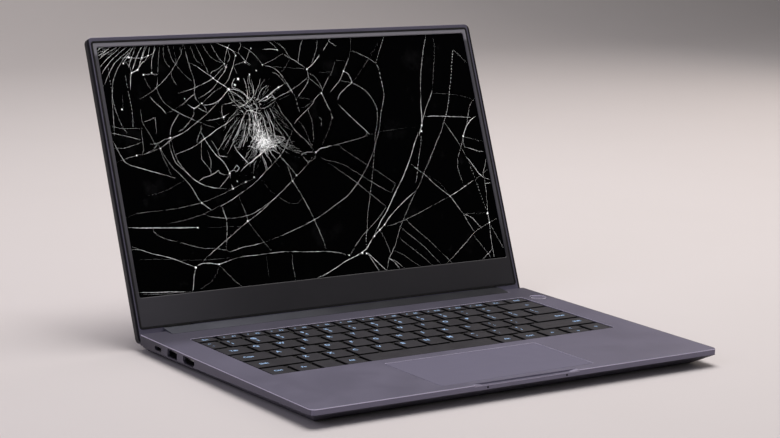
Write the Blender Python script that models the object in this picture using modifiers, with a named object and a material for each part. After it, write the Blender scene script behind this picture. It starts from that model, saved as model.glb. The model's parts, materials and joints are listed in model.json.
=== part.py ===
"""Thin 14-inch laptop with a cracked display, lid open as it lies on a table.

Metres, +Z up, +Y to the rear. X = 0 is the middle of the width, Z = 0 the plane the
feet stand on, and Y = 0 the middle of the depth with the lid open at LID_OPEN.
"""
import math

import bmesh
import bpy
import numpy as np
from mathutils import Matrix, Vector

MM = 0.001

# Whole machine
BASE_WIDTH = 322.5 * MM
HALF = BASE_WIDTH / 2
BASE_THICKNESS = 11.1 * MM
FOOT_HEIGHT = 0.8 * MM
PLAN_CORNER = 4.0 * MM
HINGE_FROM_FRONT = 209.17 * MM
HINGE_BELOW_DECK = 3.52 * MM
LID_OPEN = math.radians(112.06)
SEAT = 0.3 * MM

# Base shells
WALL = 1.5 * MM
DECK_THICKNESS = 1.2 * MM
FLOOR_THICKNESS = 1.2 * MM
EDGE_CHAMFER = 0.4 * MM
SPLIT_FRONT = 3.7 * MM
SPLIT_REAR = 7.9 * MM
SIDE_SLOPE = math.radians(35)
FRONT_SLOPE = math.radians(30)
SLOPE_WALL = 1.3 * MM
EAR_RADIUS = 3.8 * MM
EAR_UNDERCUT = math.radians(-120)
EAR_UNDERCUT_LEAN = math.radians(34.3)
EAR_WIDTH = 19.7 * MM
NOTCH_HALF = HALF - EAR_WIDTH
NOTCH_WALL = 1.1 * MM
NOTCH_LIP = 4.4 * MM
EXHAUST_SLOTS = 12
EXHAUST_SLOT_WIDTH = 2.4 * MM
EXHAUST_SLOT_HEIGHT = 1.8 * MM
EXHAUST_BELOW_DECK = 6.3 * MM

# Finger notch and microphones in the front edge
FINGER_NOTCH_HALF = 41.7 * MM
FINGER_NOTCH_RAMP = 6.7 * MM
FINGER_NOTCH_DEPTH = 0.9 * MM
FINGER_NOTCH_REACH = 3.2 * MM
MIC_HALF_SPACING = 31.5 * MM
MIC_BELOW_DECK = 2.3 * MM
MIC_RADIUS = 0.4 * MM

# Keyboard; the well is centred a little to the right
WELL_CENTRE_X = 0.3 * MM
WELL_BEFORE_HINGE = 129.07 * MM
WELL_FROM_FRONT = HINGE_FROM_FRONT - WELL_BEFORE_HINGE
WELL_SIDE_MARGIN = 1.2 * MM
WELL_FRONT_MARGIN = 1.4 * MM
WELL_REAR_MARGIN = 1.15 * MM
WEB_DROP = 1.5 * MM
WEB_THICKNESS = 0.8 * MM
WEB_OVERLAP = 2.0 * MM
WELL_CORNER = 1.5 * MM
CAP_TOP_DROP = 0.3 * MM
CAP_THICKNESS = 1.0 * MM
CAP_CORNER = 0.9 * MM
CAP_CORNER_STEPS = 1
CAP_TAPER = 0.25 * MM
CAP_CLEARANCE = 0.35 * MM
KEYS_FROM_SIDE = 23.65 * MM
KEYS_SPAN = BASE_WIDTH - 2 * KEYS_FROM_SIDE
KEYS_FROM_FRONT = WELL_FROM_FRONT + WELL_FRONT_MARGIN
KEY_GAP_X = 3.15 * MM
KEY_GAP_Y = 3.0 * MM
KEY_PITCH_Y = 18.75 * MM
FULL_ROWS = 5
FUNCTION_ROW_DEPTH = 8.3 * MM
FUNCTION_KEYS = 15
STEM_SIZE = 4.0 * MM
PLATE_THICKNESS = 0.8 * MM
PLATE_MARGIN = 0.8 * MM

# Widths of a row and of the keys that differ from a letter key, in letter keys with their gap
ROW_UNITS = 14.535
GRAVE_UNITS = 0.749
TAB_UNITS = 1.253
CAPS_UNITS = 1.530
LEFT_SHIFT_UNITS = 2.016
LEFT_CTRL_UNITS = 1.044
SMALL_UNITS = 0.950
RIGHT_ALT_UNITS = 0.992
RIGHT_CTRL_UNITS = 1.070
ARROW_PAIR = ("key_arrow_down", "key_arrow_up")

# Touchpad and power button
TOUCHPAD_WIDTH = 121.4 * MM
TOUCHPAD_FROM_FRONT = 9.2 * MM
TOUCHPAD_TO_WELL = 9.6 * MM
TOUCHPAD_DEPTH = WELL_FROM_FRONT - TOUCHPAD_TO_WELL - TOUCHPAD_FROM_FRONT
TOUCHPAD_DROP = 0.1 * MM
TOUCHPAD_THICKNESS = 1.1 * MM
TOUCHPAD_GAP = 0.35 * MM
TOUCHPAD_CORNER = 1.2 * MM
POWER_X = HALF - 10.25 * MM
POWER_FROM_FRONT = HINGE_FROM_FRONT - 29.17 * MM
POWER_RADIUS = 5.7 * MM
POWER_DROP = 0.15 * MM
POWER_THICKNESS = 1.35 * MM
POWER_FLANGE = 0.9 * MM
POWER_FLANGE_THICKNESS = 0.6 * MM

# Ports, before the hinge and below the deck
USB_C_BEFORE_HINGE = 23.07 * MM
USB_C_BELOW = 4.3 * MM
USB_C_WIDTH = 8.5 * MM
USB_C_HEIGHT = 2.6 * MM
USB_A_BEFORE_HINGE = 42.07 * MM
USB_A_WIDTH = 12.2 * MM
USB_A_HEIGHT = 5.0 * MM
USB_A_BELOW = 3.9 * MM
HDMI_BEFORE_HINGE = 63.47 * MM
HDMI_WIDTH = 14.0 * MM
HDMI_HEIGHT = 4.5 * MM
HDMI_BELOW = 3.85 * MM
HDMI_TAPER = 1.6 * MM
RIGHT_USB_BEFORE_HINGE = 47.17 * MM
JACK_BEFORE_HINGE = 64.17 * MM
JACK_BELOW = 3.9 * MM
JACK_RADIUS = 1.75 * MM
SOCKET_LENGTH = 13.6 * MM
SOCKET_SHEET = 0.3 * MM
PORT_CLEARANCE = 0.15 * MM
SOCKET_BACK = 2.0 * MM
TONGUE_FROM_MOUTH = 1.2 * MM

# Tongue of each socket: half its width, height of its middle over the port's, half its thickness
TONGUES = {
    "usb_c": (3.3 * MM, 0.0 * MM, 0.35 * MM),
    "usb_a": (5.4 * MM, 1.1 * MM, 0.7 * MM),
    "hdmi": (5.6 * MM, 0.4 * MM, 0.5 * MM),
}

# Lid
LID_THICKNESS = 4.3 * MM
LID_GAP = 0.5 * MM
LID_TAIL = 2.0 * MM
LID_EDGE_ROUND = 1.6 * MM
LID_RIM = 2.65 * MM
LID_FLOOR = 0.9 * MM
LID_TOP_RIM = 2.45 * MM
CHIN_FROM_AXIS = 7.48 * MM
GASKET_WIDTH = 0.9 * MM
GASKET_PROUD = 0.25 * MM
GASKET_THICKNESS = 1.2 * MM
BEZEL_THICKNESS = 0.8 * MM
BEZEL_SIDE = 2.4 * MM
BEZEL_TOP = 2.68 * MM
DISPLAY_ABOVE_CHIN = 21.06 * MM
DISPLAY_CORNER = 1.5 * MM
BEZEL_BEVEL = 0.4 * MM
GLASS_THICKNESS = 0.9 * MM
GLASS_MARGIN = 1.6 * MM
GLASS_LEDGE = 2.5 * MM
BACKLIGHT_THICKNESS = 0.8 * MM
BACKLIGHT_LEDGE = 6.5 * MM

# Hinge
BAR_RADIUS = 7.5 * MM
BAR_GAP = 0.3 * MM
BAR_END_GAP = 0.4 * MM
BAR_TOP_GAP = 0.7 * MM
PIN_RADIUS = 1.8 * MM
PIN_HEAD_RADIUS = 2.4 * MM
PIN_HEAD = 1.2 * MM
KNUCKLE_RADIUS = 3.0 * MM
KNUCKLE_LENGTH = 21.0 * MM
KNUCKLE_INSET = 1.6 * MM
LEAF_THICKNESS = 1.1 * MM
LEAF_REACH = 12.0 * MM
EAR_WALL = 1.5 * MM
EAR_BARREL_RADIUS = 2.5 * MM
EAR_BARREL_LENGTH = 8.0 * MM
BRACKET_THICKNESS = 1.2 * MM
BRACKET_FROM_AXIS = 18.0 * MM
BRACKET_SIDE_GAP = 2.4 * MM
BRACKET_WIDTH = EAR_WIDTH - EAR_WALL - SEAT - WALL - BRACKET_SIDE_GAP

# Boards; the main board fills the left side between the sockets and the fan
BOARD_THICKNESS = 1.0 * MM
BOARD_BOSS = 1.4 * MM
BOSS_RADIUS = 2.4 * MM
CHIP_HEIGHT = 0.6 * MM
CHIP_SINK = 0.2 * MM
CARD_THICKNESS = 0.8 * MM
MAINBOARD_FROM_FRONT = WELL_FROM_FRONT + 17.9 * MM
MAINBOARD_REAR = HINGE_FROM_FRONT - 13.17 * MM
IO_BOARD_FROM_FRONT = WELL_FROM_FRONT + 29.9 * MM
IO_BOARD_STEP = IO_BOARD_FROM_FRONT + 18.0 * MM
IO_BOARD_REAR = HINGE_FROM_FRONT - 43.17 * MM
IO_BOARD_WIDE_X = HALF - 43.25 * MM
IO_BOARD_NARROW_X = HALF - 29.25 * MM

# Chips on the main board: middle across, middle before the hinge, width, depth
PROCESSOR = (-17.0 * MM, 48.17 * MM, 26.0 * MM, 26.0 * MM)
CHIPS = (
    PROCESSOR,
    (-98.0 * MM, 53.17 * MM, 28.0 * MM, 12.0 * MM),
    (-98.0 * MM, 35.17 * MM, 28.0 * MM, 12.0 * MM),
    (21.0 * MM, 52.17 * MM, 14.0 * MM, 14.0 * MM),
)

# Cards: left edge, near edge behind the main board's near edge, width, depth
CARDS = {
    "ssd_module": (-78.0 * MM, 12.0 * MM, 80.0 * MM, 22.0 * MM),
    "wifi_card": (33.25 * MM - HALF, 14.0 * MM, 30.0 * MM, 22.0 * MM),
}
CARD_CHIPS = ((0.12, 0.42), (0.55, 0.85))
CARD_MARGIN = 3.0 * MM

# Cooling
FAN_X = HALF - 69.25 * MM
FAN_FROM_FRONT = HINGE_FROM_FRONT - 46.17 * MM
MAINBOARD_RIGHT = FAN_X - 34.0 * MM
FAN_RADIUS = 22.0 * MM
FAN_HOUSING_HALF = FAN_RADIUS + 2.2 * MM
FAN_ROOM = FAN_RADIUS + 0.9 * MM
FAN_HEIGHT = 4.4 * MM
FAN_SHEET = 0.6 * MM
FAN_BLADES = 23
FAN_BLADE_REACH = FAN_RADIUS - 0.6 * MM
FAN_BLADE_HALF_THICKNESS = 0.3 * MM
FAN_BLADE_SWEEP = 0.55
FAN_HUB_RADIUS = 7.5 * MM
FAN_INLET = 13.5 * MM
FAN_SPINDLE = 1.4 * MM
FAN_HUB_SEAT = 5.0 * MM
FAN_HUB_ROOF = 0.8 * MM
FIN_COUNT = 22
FIN_DEPTH = 7.0 * MM
FIN_PLATE = 0.4 * MM
FIN_THICKNESS = 0.7 * MM
FIN_END = 0.25 * MM
PIPE_THICKNESS = 1.3 * MM
PIPE_WIDTH = 7.0 * MM
COLD_PLATE_MARGIN = 2.0 * MM

# Battery and speakers
BATTERY_FROM_FRONT = 19.0 * MM
BATTERY_TO_WELL = 2.1 * MM
BATTERY_THICKNESS = 4.4 * MM
BATTERY_CELLS = 4
BATTERY_TO_SPEAKER = 7.0 * MM
BATTERY_GROOVE_HALF = 0.8 * MM
BATTERY_GROOVE_DEPTH = 1.2 * MM
SPEAKER_X = HALF - 39.25 * MM
SPEAKER_FROM_FRONT = WELL_FROM_FRONT - 18.1 * MM
SPEAKER_LENGTH = 46.0 * MM
SPEAKER_WIDTH = 30.0 * MM
SPEAKER_HEIGHT = 3.6 * MM
SPEAKER_CORNER = 3.0 * MM
DIAPHRAGM_RADIUS = 11.0 * MM
DIAPHRAGM_DEPTH = 1.2 * MM

# Underside
VENT_SLOTS = 9
VENT_SLOT_WIDTH = 1.6 * MM
VENT_SLOT_PITCH = 4.2 * MM
SPEAKER_SLOTS = 8
SPEAKER_SLOT_WIDTH = 1.0 * MM
SPEAKER_SLOT_PITCH = 3.6 * MM
SPEAKER_SLOT_LENGTH = 26.0 * MM
SCREW_RECESS_RADIUS = 2.6 * MM
SCREW_RECESS = 0.6 * MM
SCREW_FROM_SIDE = 22.0 * MM
SCREW_FROM_FRONT = 38.0 * MM
SCREW_FROM_REAR_WALL = 7.0 * MM
SCREW_MIDDLE_SHARE = 0.45
REAR_FOOT_LENGTH = BASE_WIDTH - 86.5 * MM
REAR_FOOT_WIDTH = 7.0 * MM
REAR_FOOT_FROM_FRONT = HINGE_FROM_FRONT - 21.17 * MM
FRONT_FOOT_LENGTH = 42.0 * MM
FRONT_FOOT_WIDTH = 6.0 * MM
FRONT_FOOT_FROM_FRONT = 24.0 * MM
FRONT_FOOT_X = HALF - 53.25 * MM
FOOT_RECESS = 0.6 * MM
FOOT_EDGE = 0.3 * MM

# Cracks in the display, in millimetres from the middle of its lower edge
IMPACT = (-37.0, 103.0)
CRATER_RADIUS = 3.0
CRATER_POINTS = 9
CRATER_DEPTH = 0.5 * MM
CRACK_WIDTH = 0.7 * MM
CRACK_DEPTH = 0.3 * MM
CRACK_OVERLAP = 0.15 * MM
CRACK_SEED = 14
RAY_COUNT = 26
RAY_REACH = (14.0, 30.0)
CORNER_CRACKS = (
    ((-151, 150), (-143, 162), (-133, 169), (-127, 172)),
    ((-151, 113), (-149, 137), (-142, 157), (-134, 166), (-124, 172)),
    ((-134, 143), (-131, 155), (-123, 170)),
    ((-131, 155), (-122, 161.5), (-116, 167)),
    ((-115.5, 154.5), (-113, 139), (-99.5, 125), (-86, 118), (-74, 113.5)),
    ((-129, 136), (-113, 144.3), (-100, 155), (-88, 171)),
    ((-98, 138.8), (-75, 145.5), (-57, 157), (-52, 170)),
    ((-86, 161), (-70, 150.5), (-57, 140), (-41, 130)),
    ((-86, 171), (-84, 149), (-85, 139), (-80, 130), (-69, 131), (-58, 139)),
    ((-119, 101), (-97, 112), (-80, 122), (-65, 133)),
    ((-108.5, 96), (-90, 102), (-72, 112), (-52, 122.5)),
)
SIDE_CRACKS = (
    ((-151, 103), (-131.5, 106.5), (-109.5, 108), (-111, 97), (-102, 83), (-90, 73), (-68, 69)),
    ((-151, 101), (-147, 92.5), (-130, 86), (-108.5, 78.5)),
    ((-119, 100), (-112, 87), (-100, 72), (-95, 61)),
    ((-85, 110), (-76, 93), (-69.5, 84), (-68.5, 76)),
    ((-66, 80), (-52, 86), (-41, 92)),
    ((-151, 57), (-115, 58.5), (-85, 63.5), (-60, 72), (-45, 76)),
    ((-88, 55.5), (-62, 65.5), (-37, 81), (-20, 95), (-12, 106)),
    ((-95, 53), (-77.5, 48.7), (-55, 50.5), (-37, 59), (-14, 74.5), (5, 90), (19, 94.5)),
    ((-151, 48.3), (-130, 46.3), (-101, 44)),
    ((-151, 33.5), (-130, 26.5), (-108, 17), (-89.5, 17.3), (-68, 21), (-35, 21.3), (17, 14)),
    ((-104, 18.5), (-78, 35), (-55, 48), (-38, 58.5), (-20, 70)),
    ((-79, 25.3), (-51, 29.5), (-15, 39), (15, 52), (42, 72), (57, 93)),
    ((-108, 16), (-112, 4)),
)
LONG_CRACKS = (
    ((-12, 2), (13, 10), (33, 17.5), (45, 31), (62, 50.5), (84, 78), (99, 101), (104, 120), (120, 171)),
    ((122, 106.5), (108, 86), (85, 56), (70, 37), (52, 10)),
    ((85, 56), (62, 42), (41, 26)),
    ((85, 76.5), (102, 61), (119, 43), (130, 22), (139, 3)),
    ((52, 32), (82, 39), (114.5, 50), (139, 60.5), (152, 67)),
    ((102, 3), (124, 16.5), (152, 29.5)),
    ((149, 61), (146, 35), (144, 3)),
    ((152, 109), (137, 94), (127, 73), (129, 57)),
    ((122, 106.5), (134, 84), (149, 61.5)),
    ((52, 171), (47, 157), (27, 134)),
    ((33, 17), (40, 45), (51, 75), (64, 106), (73, 132), (72, 152), (82, 171)),
    ((-12, 109), (5, 122.5), (19, 134), (27, 145)),
    ((-20, 129), (-12, 113), (4, 92)),
    ((-1.5, 131.5), (10.5, 146), (12, 153), (24, 162.5)),
    ((11, 152), (-2, 160.5), (-12, 171)),
    ((-26, 156), (-13, 150), (-4, 132.5)),
)

# Derived places
DECK = FOOT_HEIGHT + BASE_THICKNESS
FLOOR = FOOT_HEIGHT + FLOOR_THICKNESS
LEAN = LID_OPEN - math.radians(90)
FACE_FROM_AXIS = HINGE_BELOW_DECK + LID_GAP
LID_TOP = HINGE_FROM_FRONT
OPEN_DEPTH = (
    HINGE_FROM_FRONT
    + (LID_TOP - LID_EDGE_ROUND) * math.sin(LEAN)
    + (FACE_FROM_AXIS + LID_THICKNESS - LID_EDGE_ROUND) * math.cos(LEAN)
    + LID_EDGE_ROUND
)
FRONT = -OPEN_DEPTH / 2
AXIS_Y = FRONT + HINGE_FROM_FRONT
AXIS_Z = DECK - HINGE_BELOW_DECK
AXIS = Vector((0, AXIS_Y, AXIS_Z))
BASE_DEPTH = HINGE_FROM_FRONT + EAR_RADIUS
NOTCH_RADIUS = BAR_RADIUS + BAR_GAP
CAVITY_REAR = HINGE_FROM_FRONT - NOTCH_RADIUS - NOTCH_WALL
FAR = 30 * MM

WELL_WIDTH = KEYS_SPAN + 2 * WELL_SIDE_MARGIN
WELL_DEPTH_Y = WELL_FRONT_MARGIN + FULL_ROWS * KEY_PITCH_Y + FUNCTION_ROW_DEPTH + WELL_REAR_MARGIN
KEY_PITCH_X = (KEYS_SPAN + KEY_GAP_X) / ROW_UNITS
CAP_DEPTH = KEY_PITCH_Y - KEY_GAP_Y
KEYS_LEFT = WELL_CENTRE_X - KEYS_SPAN / 2
PLATE_TOP = DECK - WEB_DROP - WEB_THICKNESS - SEAT

LID_FACE = -FACE_FROM_AXIS
LID_OUTER = LID_FACE - LID_THICKNESS
TRAY_HALF = HALF - LID_RIM
TRAY_BOTTOM = CHIN_FROM_AXIS - SEAT
TRAY_TOP = LID_TOP - LID_TOP_RIM
DISPLAY_BOTTOM = CHIN_FROM_AXIS + DISPLAY_ABOVE_CHIN
DISPLAY_WIDTH = 2 * (TRAY_HALF - 2 * SEAT - GASKET_WIDTH - BEZEL_SIDE)
DISPLAY_HEIGHT = TRAY_TOP - 2 * SEAT - GASKET_WIDTH - BEZEL_TOP - DISPLAY_BOTTOM
GLASS_FRONT = LID_FACE - BEZEL_THICKNESS - SEAT
BAR_HALF = NOTCH_HALF - BAR_END_GAP

parts = None
cutters = None


def start_scene():
    """Empty the scene and make the two collections."""
    global parts, cutters
    for item in list(bpy.data.objects):
        bpy.data.objects.remove(item, do_unlink=True)
    parts = bpy.data.collections.new("broken_laptop")
    cutters = bpy.data.collections.new("cutters")
    bpy.context.scene.collection.children.link(parts)
    bpy.context.scene.collection.children.link(cutters)


def srgb(code):
    """Linear colour of an sRGB hex value."""
    channels = [int(code[i:i + 2], 16) / 255 for i in (0, 2, 4)]
    return tuple(c / 12.92 if c < 0.04045 else ((c + 0.055) / 1.055) ** 2.4 for c in channels) + (1,)


def finish(name, code, roughness, metallic=0.0):
    """A Principled material."""
    material = bpy.data.materials.new(name)
    material.use_nodes = True
    shader = material.node_tree.nodes["Principled BSDF"]
    shader.inputs["Base Color"].default_value = srgb(code)
    shader.inputs["Roughness"].default_value = roughness
    shader.inputs["Metallic"].default_value = metallic
    return material


def add(name, mesh, material=None, parent=None):
    """Put a mesh in the model, or among the cutters where it has no material."""
    item = bpy.data.objects.new(name, mesh)
    if material is None:
        cutters.objects.link(item)
        item.hide_render = True
        item.display_type = "WIRE"
    else:
        parts.objects.link(item)
        mesh.materials.clear()
        mesh.materials.append(material)
    item.parent = parent
    return item


def mesh_of(build):
    """A mesh from a function that fills a bmesh, faces turned outwards."""
    form = bmesh.new()
    build(form)
    bmesh.ops.recalc_face_normals(form, faces=form.faces)
    mesh = bpy.data.meshes.new("form")
    form.to_mesh(mesh)
    form.free()
    return mesh


def box_into(form, low, high):
    """Add a box between two corners to a bmesh."""
    low = Vector(low)
    high = Vector(high)
    made = bmesh.ops.create_cube(form, size=1)
    size = high - low
    bmesh.ops.scale(form, vec=size, verts=made["verts"])
    bmesh.ops.translate(form, vec=(low + high) / 2, verts=made["verts"])


def boxes(*corners):
    """Mesh of separate boxes, each a low and a high corner."""
    def build(form):
        for low, high in corners:
            box_into(form, low, high)
    return mesh_of(build)


def rod_into(form, radius, start, end, steps=24, end_radius=None):
    """Add a cylinder or cone between two points to a bmesh."""
    start = Vector(start)
    end = Vector(end)
    along = end - start
    turn = along.to_track_quat("Z", "Y").to_matrix().to_4x4()
    place = Matrix.Translation((start + end) / 2) @ turn
    bmesh.ops.create_cone(
        form, cap_ends=True, segments=steps, radius1=radius,
        radius2=radius if end_radius is None else end_radius, depth=along.length, matrix=place)


def rods(*items, steps=24):
    """Mesh of separate cylinders, each a radius and two end points."""
    def build(form):
        for radius, start, end in items:
            rod_into(form, radius, start, end, steps)
    return mesh_of(build)


def arc(centre, radius, start, end, steps):
    """Points of an arc in a plane, angles in radians."""
    return [
        (centre[0] + radius * math.cos(a), centre[1] + radius * math.sin(a))
        for a in np.linspace(start, end, steps + 1)
    ]


def rounded(low, high, radius, steps=4):
    """Outline of a rectangle with round corners."""
    quarter = math.pi / 2
    corners = (
        ((high[0] - radius, high[1] - radius), 0),
        ((low[0] + radius, high[1] - radius), 1),
        ((low[0] + radius, low[1] + radius), 2),
        ((high[0] - radius, low[1] + radius), 3),
    )
    points = []
    for centre, turn in corners:
        points += arc(centre, radius, turn * quarter, (turn + 1) * quarter, steps)
    return points


def solid_of(curve):
    """Mesh of a curve's solid, its caps welded and its faces outwards; the curve is removed."""
    holder = bpy.data.objects.new("curve", curve)
    bpy.context.scene.collection.objects.link(holder)
    shape = holder.evaluated_get(bpy.context.evaluated_depsgraph_get())
    mesh = bpy.data.meshes.new_from_object(shape)
    bpy.data.objects.remove(holder)
    bpy.data.curves.remove(curve)
    mesh.materials.clear()
    form = bmesh.new()
    form.from_mesh(mesh)
    bmesh.ops.remove_doubles(form, verts=form.verts, dist=0.00001)
    bmesh.ops.recalc_face_normals(form, faces=form.faces)
    form.to_mesh(mesh)
    form.free()
    return mesh


def slab(outlines, low, high, axes="XY"):
    """Mesh of one outline, or an outline with holes, extruded between two levels.

    The outline lies in the plane of axes, and the extrusion runs along the third axis.
    """
    curve = bpy.data.curves.new("outline", "CURVE")
    curve.dimensions = "2D"
    curve.fill_mode = "BOTH"
    curve.extrude = (high - low) / 2
    for outline in outlines:
        spline = curve.splines.new("POLY")
        spline.points.add(len(outline) - 1)
        for point, (a, b) in zip(spline.points, outline):
            point.co = (a, b, 0, 1)
        spline.use_cyclic_u = True
    mesh = solid_of(curve)
    middle = (low + high) / 2
    if axes == "XY":
        place = Matrix.Translation((0, 0, middle))
    else:
        place = Matrix(((0, 0, 1, middle), (1, 0, 0, 0), (0, 1, 0, 0), (0, 0, 0, 1)))
    mesh.transform(place)
    return mesh


def bevel_where(mesh, test, width, steps):
    """Bevel the edges whose two ends pass a test."""
    form = bmesh.new()
    form.from_mesh(mesh)
    chosen = [e for e in form.edges if all(test(v.co) for v in e.verts) and e.calc_face_angle(0) > 0.5]
    bmesh.ops.bevel(
        form, geom=chosen, offset=width, segments=steps, profile=0.5,
        affect="EDGES", clamp_overlap=True)
    form.to_mesh(mesh)
    form.free()


def cut(item, mesh, operation="DIFFERENCE", repeat=False):
    """Cut an object by a mesh, or join the mesh to it, and keep the result."""
    bpy.context.view_layer.update()
    other = add("cutter", mesh)
    other.matrix_world = item.matrix_world
    change = item.modifiers.new("cut", "BOOLEAN")
    change.operation = operation
    change.solver = "EXACT"
    change.use_self = repeat
    change.object = other
    shape = item.evaluated_get(bpy.context.evaluated_depsgraph_get())
    result = bpy.data.meshes.new_from_object(shape)
    item.modifiers.clear()
    old = item.data
    item.data = result
    bpy.data.meshes.remove(old)
    bpy.data.objects.remove(other)


def smooth(item, angle=35):
    """Shade a round piece smooth with its sharp edges kept."""
    item.data.shade_smooth()
    item.data.set_sharp_from_angle(angle=math.radians(angle))


def deck_point(x, from_front, below):
    """A point of the base given from the front edge and below the deck."""
    return (x, FRONT + from_front, DECK - below)


def half_space(point, along, outward):
    """A big block that fills the side of a plane that outward points to."""
    size = 600 * MM
    along = Vector(along).normalized()
    outward = Vector(outward).normalized()
    side = outward.cross(along)
    turn = Matrix((along, side, outward)).transposed().to_4x4()

    def build(form):
        box_into(form, (-size, -size, 0), (size, size, 60 * MM))
        bmesh.ops.transform(form, matrix=Matrix.Translation(point) @ turn, verts=form.verts)
    return mesh_of(build)


def base_form(inset, below_top, below_bottom, rear, slope_wall):
    """The base's outer form, or its hollow when inset: a slab with sloping lower sides."""
    outline = rounded(
        (-HALF + inset, FRONT + inset), (HALF - inset, FRONT + rear), PLAN_CORNER)
    item = add("base_form", slab([outline], DECK - below_bottom, DECK - below_top))
    run = Vector((0, BASE_DEPTH, -(SPLIT_REAR - SPLIT_FRONT)))
    for side in (-1, 1):
        start = Vector(deck_point(side * HALF, 0, SPLIT_FRONT))
        outward = Vector((side * math.sin(SIDE_SLOPE), 0, -math.cos(SIDE_SLOPE)))
        outward = (outward - run * outward.dot(run) / run.length_squared).normalized()
        cut(item, half_space(start - outward * slope_wall, run, outward))
    outward = Vector((0, -math.sin(FRONT_SLOPE), -math.cos(FRONT_SLOPE)))
    start = Vector(deck_point(0, 0, SPLIT_FRONT))
    cut(item, half_space(start - outward * slope_wall, (1, 0, 0), outward))
    return item


def about_axis(points):
    """Outline points given about the hinge axis, as world Y and Z."""
    return [(AXIS_Y + y, AXIS_Z + z) for y, z in points]


def tail_cutter():
    """Space behind the ears, which the lid's lower edge sweeps through."""
    top = math.asin(HINGE_BELOW_DECK / EAR_RADIUS)
    round_part = arc((0, 0), EAR_RADIUS, EAR_UNDERCUT, top, 20)
    start = round_part[0]
    reach = 12 * MM
    lower = (start[0] - reach * math.tan(EAR_UNDERCUT_LEAN), start[1] - reach)
    outline = [lower] + round_part + [(round_part[-1][0], FAR), (FAR, FAR), (FAR, lower[1])]
    return slab([about_axis(outline)], -BASE_WIDTH, BASE_WIDTH, "YZ")


def notch_cutter():
    """Space of the hinge bar between the ears, open to the rear and below."""
    top = math.pi - math.asin(HINGE_BELOW_DECK / NOTCH_RADIUS)
    bottom = math.pi + math.acos(NOTCH_LIP / NOTCH_RADIUS)
    wall = arc((0, 0), NOTCH_RADIUS, top, bottom, 16)
    outline = [(wall[0][0], FAR)] + wall + [(wall[-1][0], -FAR), (FAR, -FAR), (FAR, FAR)]
    return slab([about_axis(outline)], -NOTCH_HALF, NOTCH_HALF, "YZ")


def ear_pockets():
    """Room for the hinge in each ear: a round pocket on the axis with a way forward."""
    radius = EAR_BARREL_RADIUS + SEAT
    near = NOTCH_HALF + EAR_WALL
    far = HALF - WALL
    forward = AXIS_Y - HINGE_FROM_FRONT + CAVITY_REAR - 1 * MM
    outline = arc((AXIS_Y, AXIS_Z), radius, -math.pi / 2, math.pi / 2, 12)
    outline += [(forward, AXIS_Z + radius), (forward, AXIS_Z - radius)]
    return [
        slab([outline], min(side * near, side * far), max(side * near, side * far), "YZ")
        for side in (-1, 1)
    ]


def base_shell(name, material, upper):
    """One half of the base housing: deck and walls, or the floor with its slopes."""
    item = base_form(0, 0, BASE_THICKNESS, BASE_DEPTH, 0)
    item.name = name
    cutters.objects.unlink(item)
    parts.objects.link(item)
    item.hide_render = False
    item.display_type = "TEXTURED"
    item.data.materials.clear()
    item.data.materials.append(material)
    run = (0, BASE_DEPTH, -(SPLIT_REAR - SPLIT_FRONT))
    if upper:
        bevel_where(item.data, lambda co: co.z > DECK - 0.01 * MM, EDGE_CHAMFER, 1)
        line = Vector(deck_point(0, 0, SPLIT_FRONT))
        cut(item, half_space(line, run, Vector(run).cross((1, 0, 0))))
    else:
        line = Vector(deck_point(0, 0, SPLIT_FRONT + SEAT))
        cut(item, half_space(line, run, Vector(run).cross((-1, 0, 0))))
    hollow = base_form(WALL, DECK_THICKNESS, BASE_THICKNESS - FLOOR_THICKNESS, CAVITY_REAR, SLOPE_WALL)
    cut(item, hollow.data.copy())
    bpy.data.objects.remove(hollow)
    cut(item, notch_cutter())
    cut(item, tail_cutter())
    return item


def key_rows():
    """All keys as (name or None, row, left edge, width); row 0 is the nearest.

    A key whose width is None takes what the others of its row leave.
    """
    function_units = ROW_UNITS / FUNCTION_KEYS
    rows = [
        [("key_left_ctrl", LEFT_CTRL_UNITS), ("key_fn", SMALL_UNITS), ("key_start", SMALL_UNITS),
         ("key_left_alt", SMALL_UNITS), ("key_space", None), ("key_right_alt", RIGHT_ALT_UNITS),
         ("key_right_ctrl", RIGHT_CTRL_UNITS), ("key_arrow_left", 1), ("arrows", 1),
         ("key_arrow_right", 1)],
        [("key_left_shift", LEFT_SHIFT_UNITS)] + [(None, 1)] * 10 + [("key_right_shift", None)],
        [("key_caps_lock", CAPS_UNITS)] + [(None, 1)] * 11 + [("key_enter", None)],
        [("key_tab", TAB_UNITS)] + [(None, 1)] * 12 + [("key_backslash", None)],
        [(None, GRAVE_UNITS)] + [(None, 1)] * 12 + [("key_backspace", None)],
        [("key_escape", function_units)] + [(None, function_units)] * (FUNCTION_KEYS - 1),
    ]
    keys = []
    for row, units in enumerate(rows):
        rest = ROW_UNITS - sum(share for _, share in units if share is not None)
        left = KEYS_LEFT
        for name, share in units:
            unit = KEY_PITCH_X * (rest if share is None else share)
            keys.append((name, row, left, unit - KEY_GAP_X))
            left += unit
    return keys


def key_places():
    """Every cap as (name, low corner, high corner) on the plane of the tops."""
    places = []
    for name, row, left, width in key_rows():
        near = FRONT + KEYS_FROM_FRONT + row * KEY_PITCH_Y
        depth = FUNCTION_ROW_DEPTH if row == FULL_ROWS else CAP_DEPTH
        if name == "arrows":
            half = (depth - 2 * CAP_CLEARANCE) / 2
            places.append((ARROW_PAIR[0], (left, near), (left + width, near + half)))
            places.append((ARROW_PAIR[1], (left, near + depth - half), (left + width, near + depth)))
        else:
            places.append((name, (left, near), (left + width, near + depth)))
    return places


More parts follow.
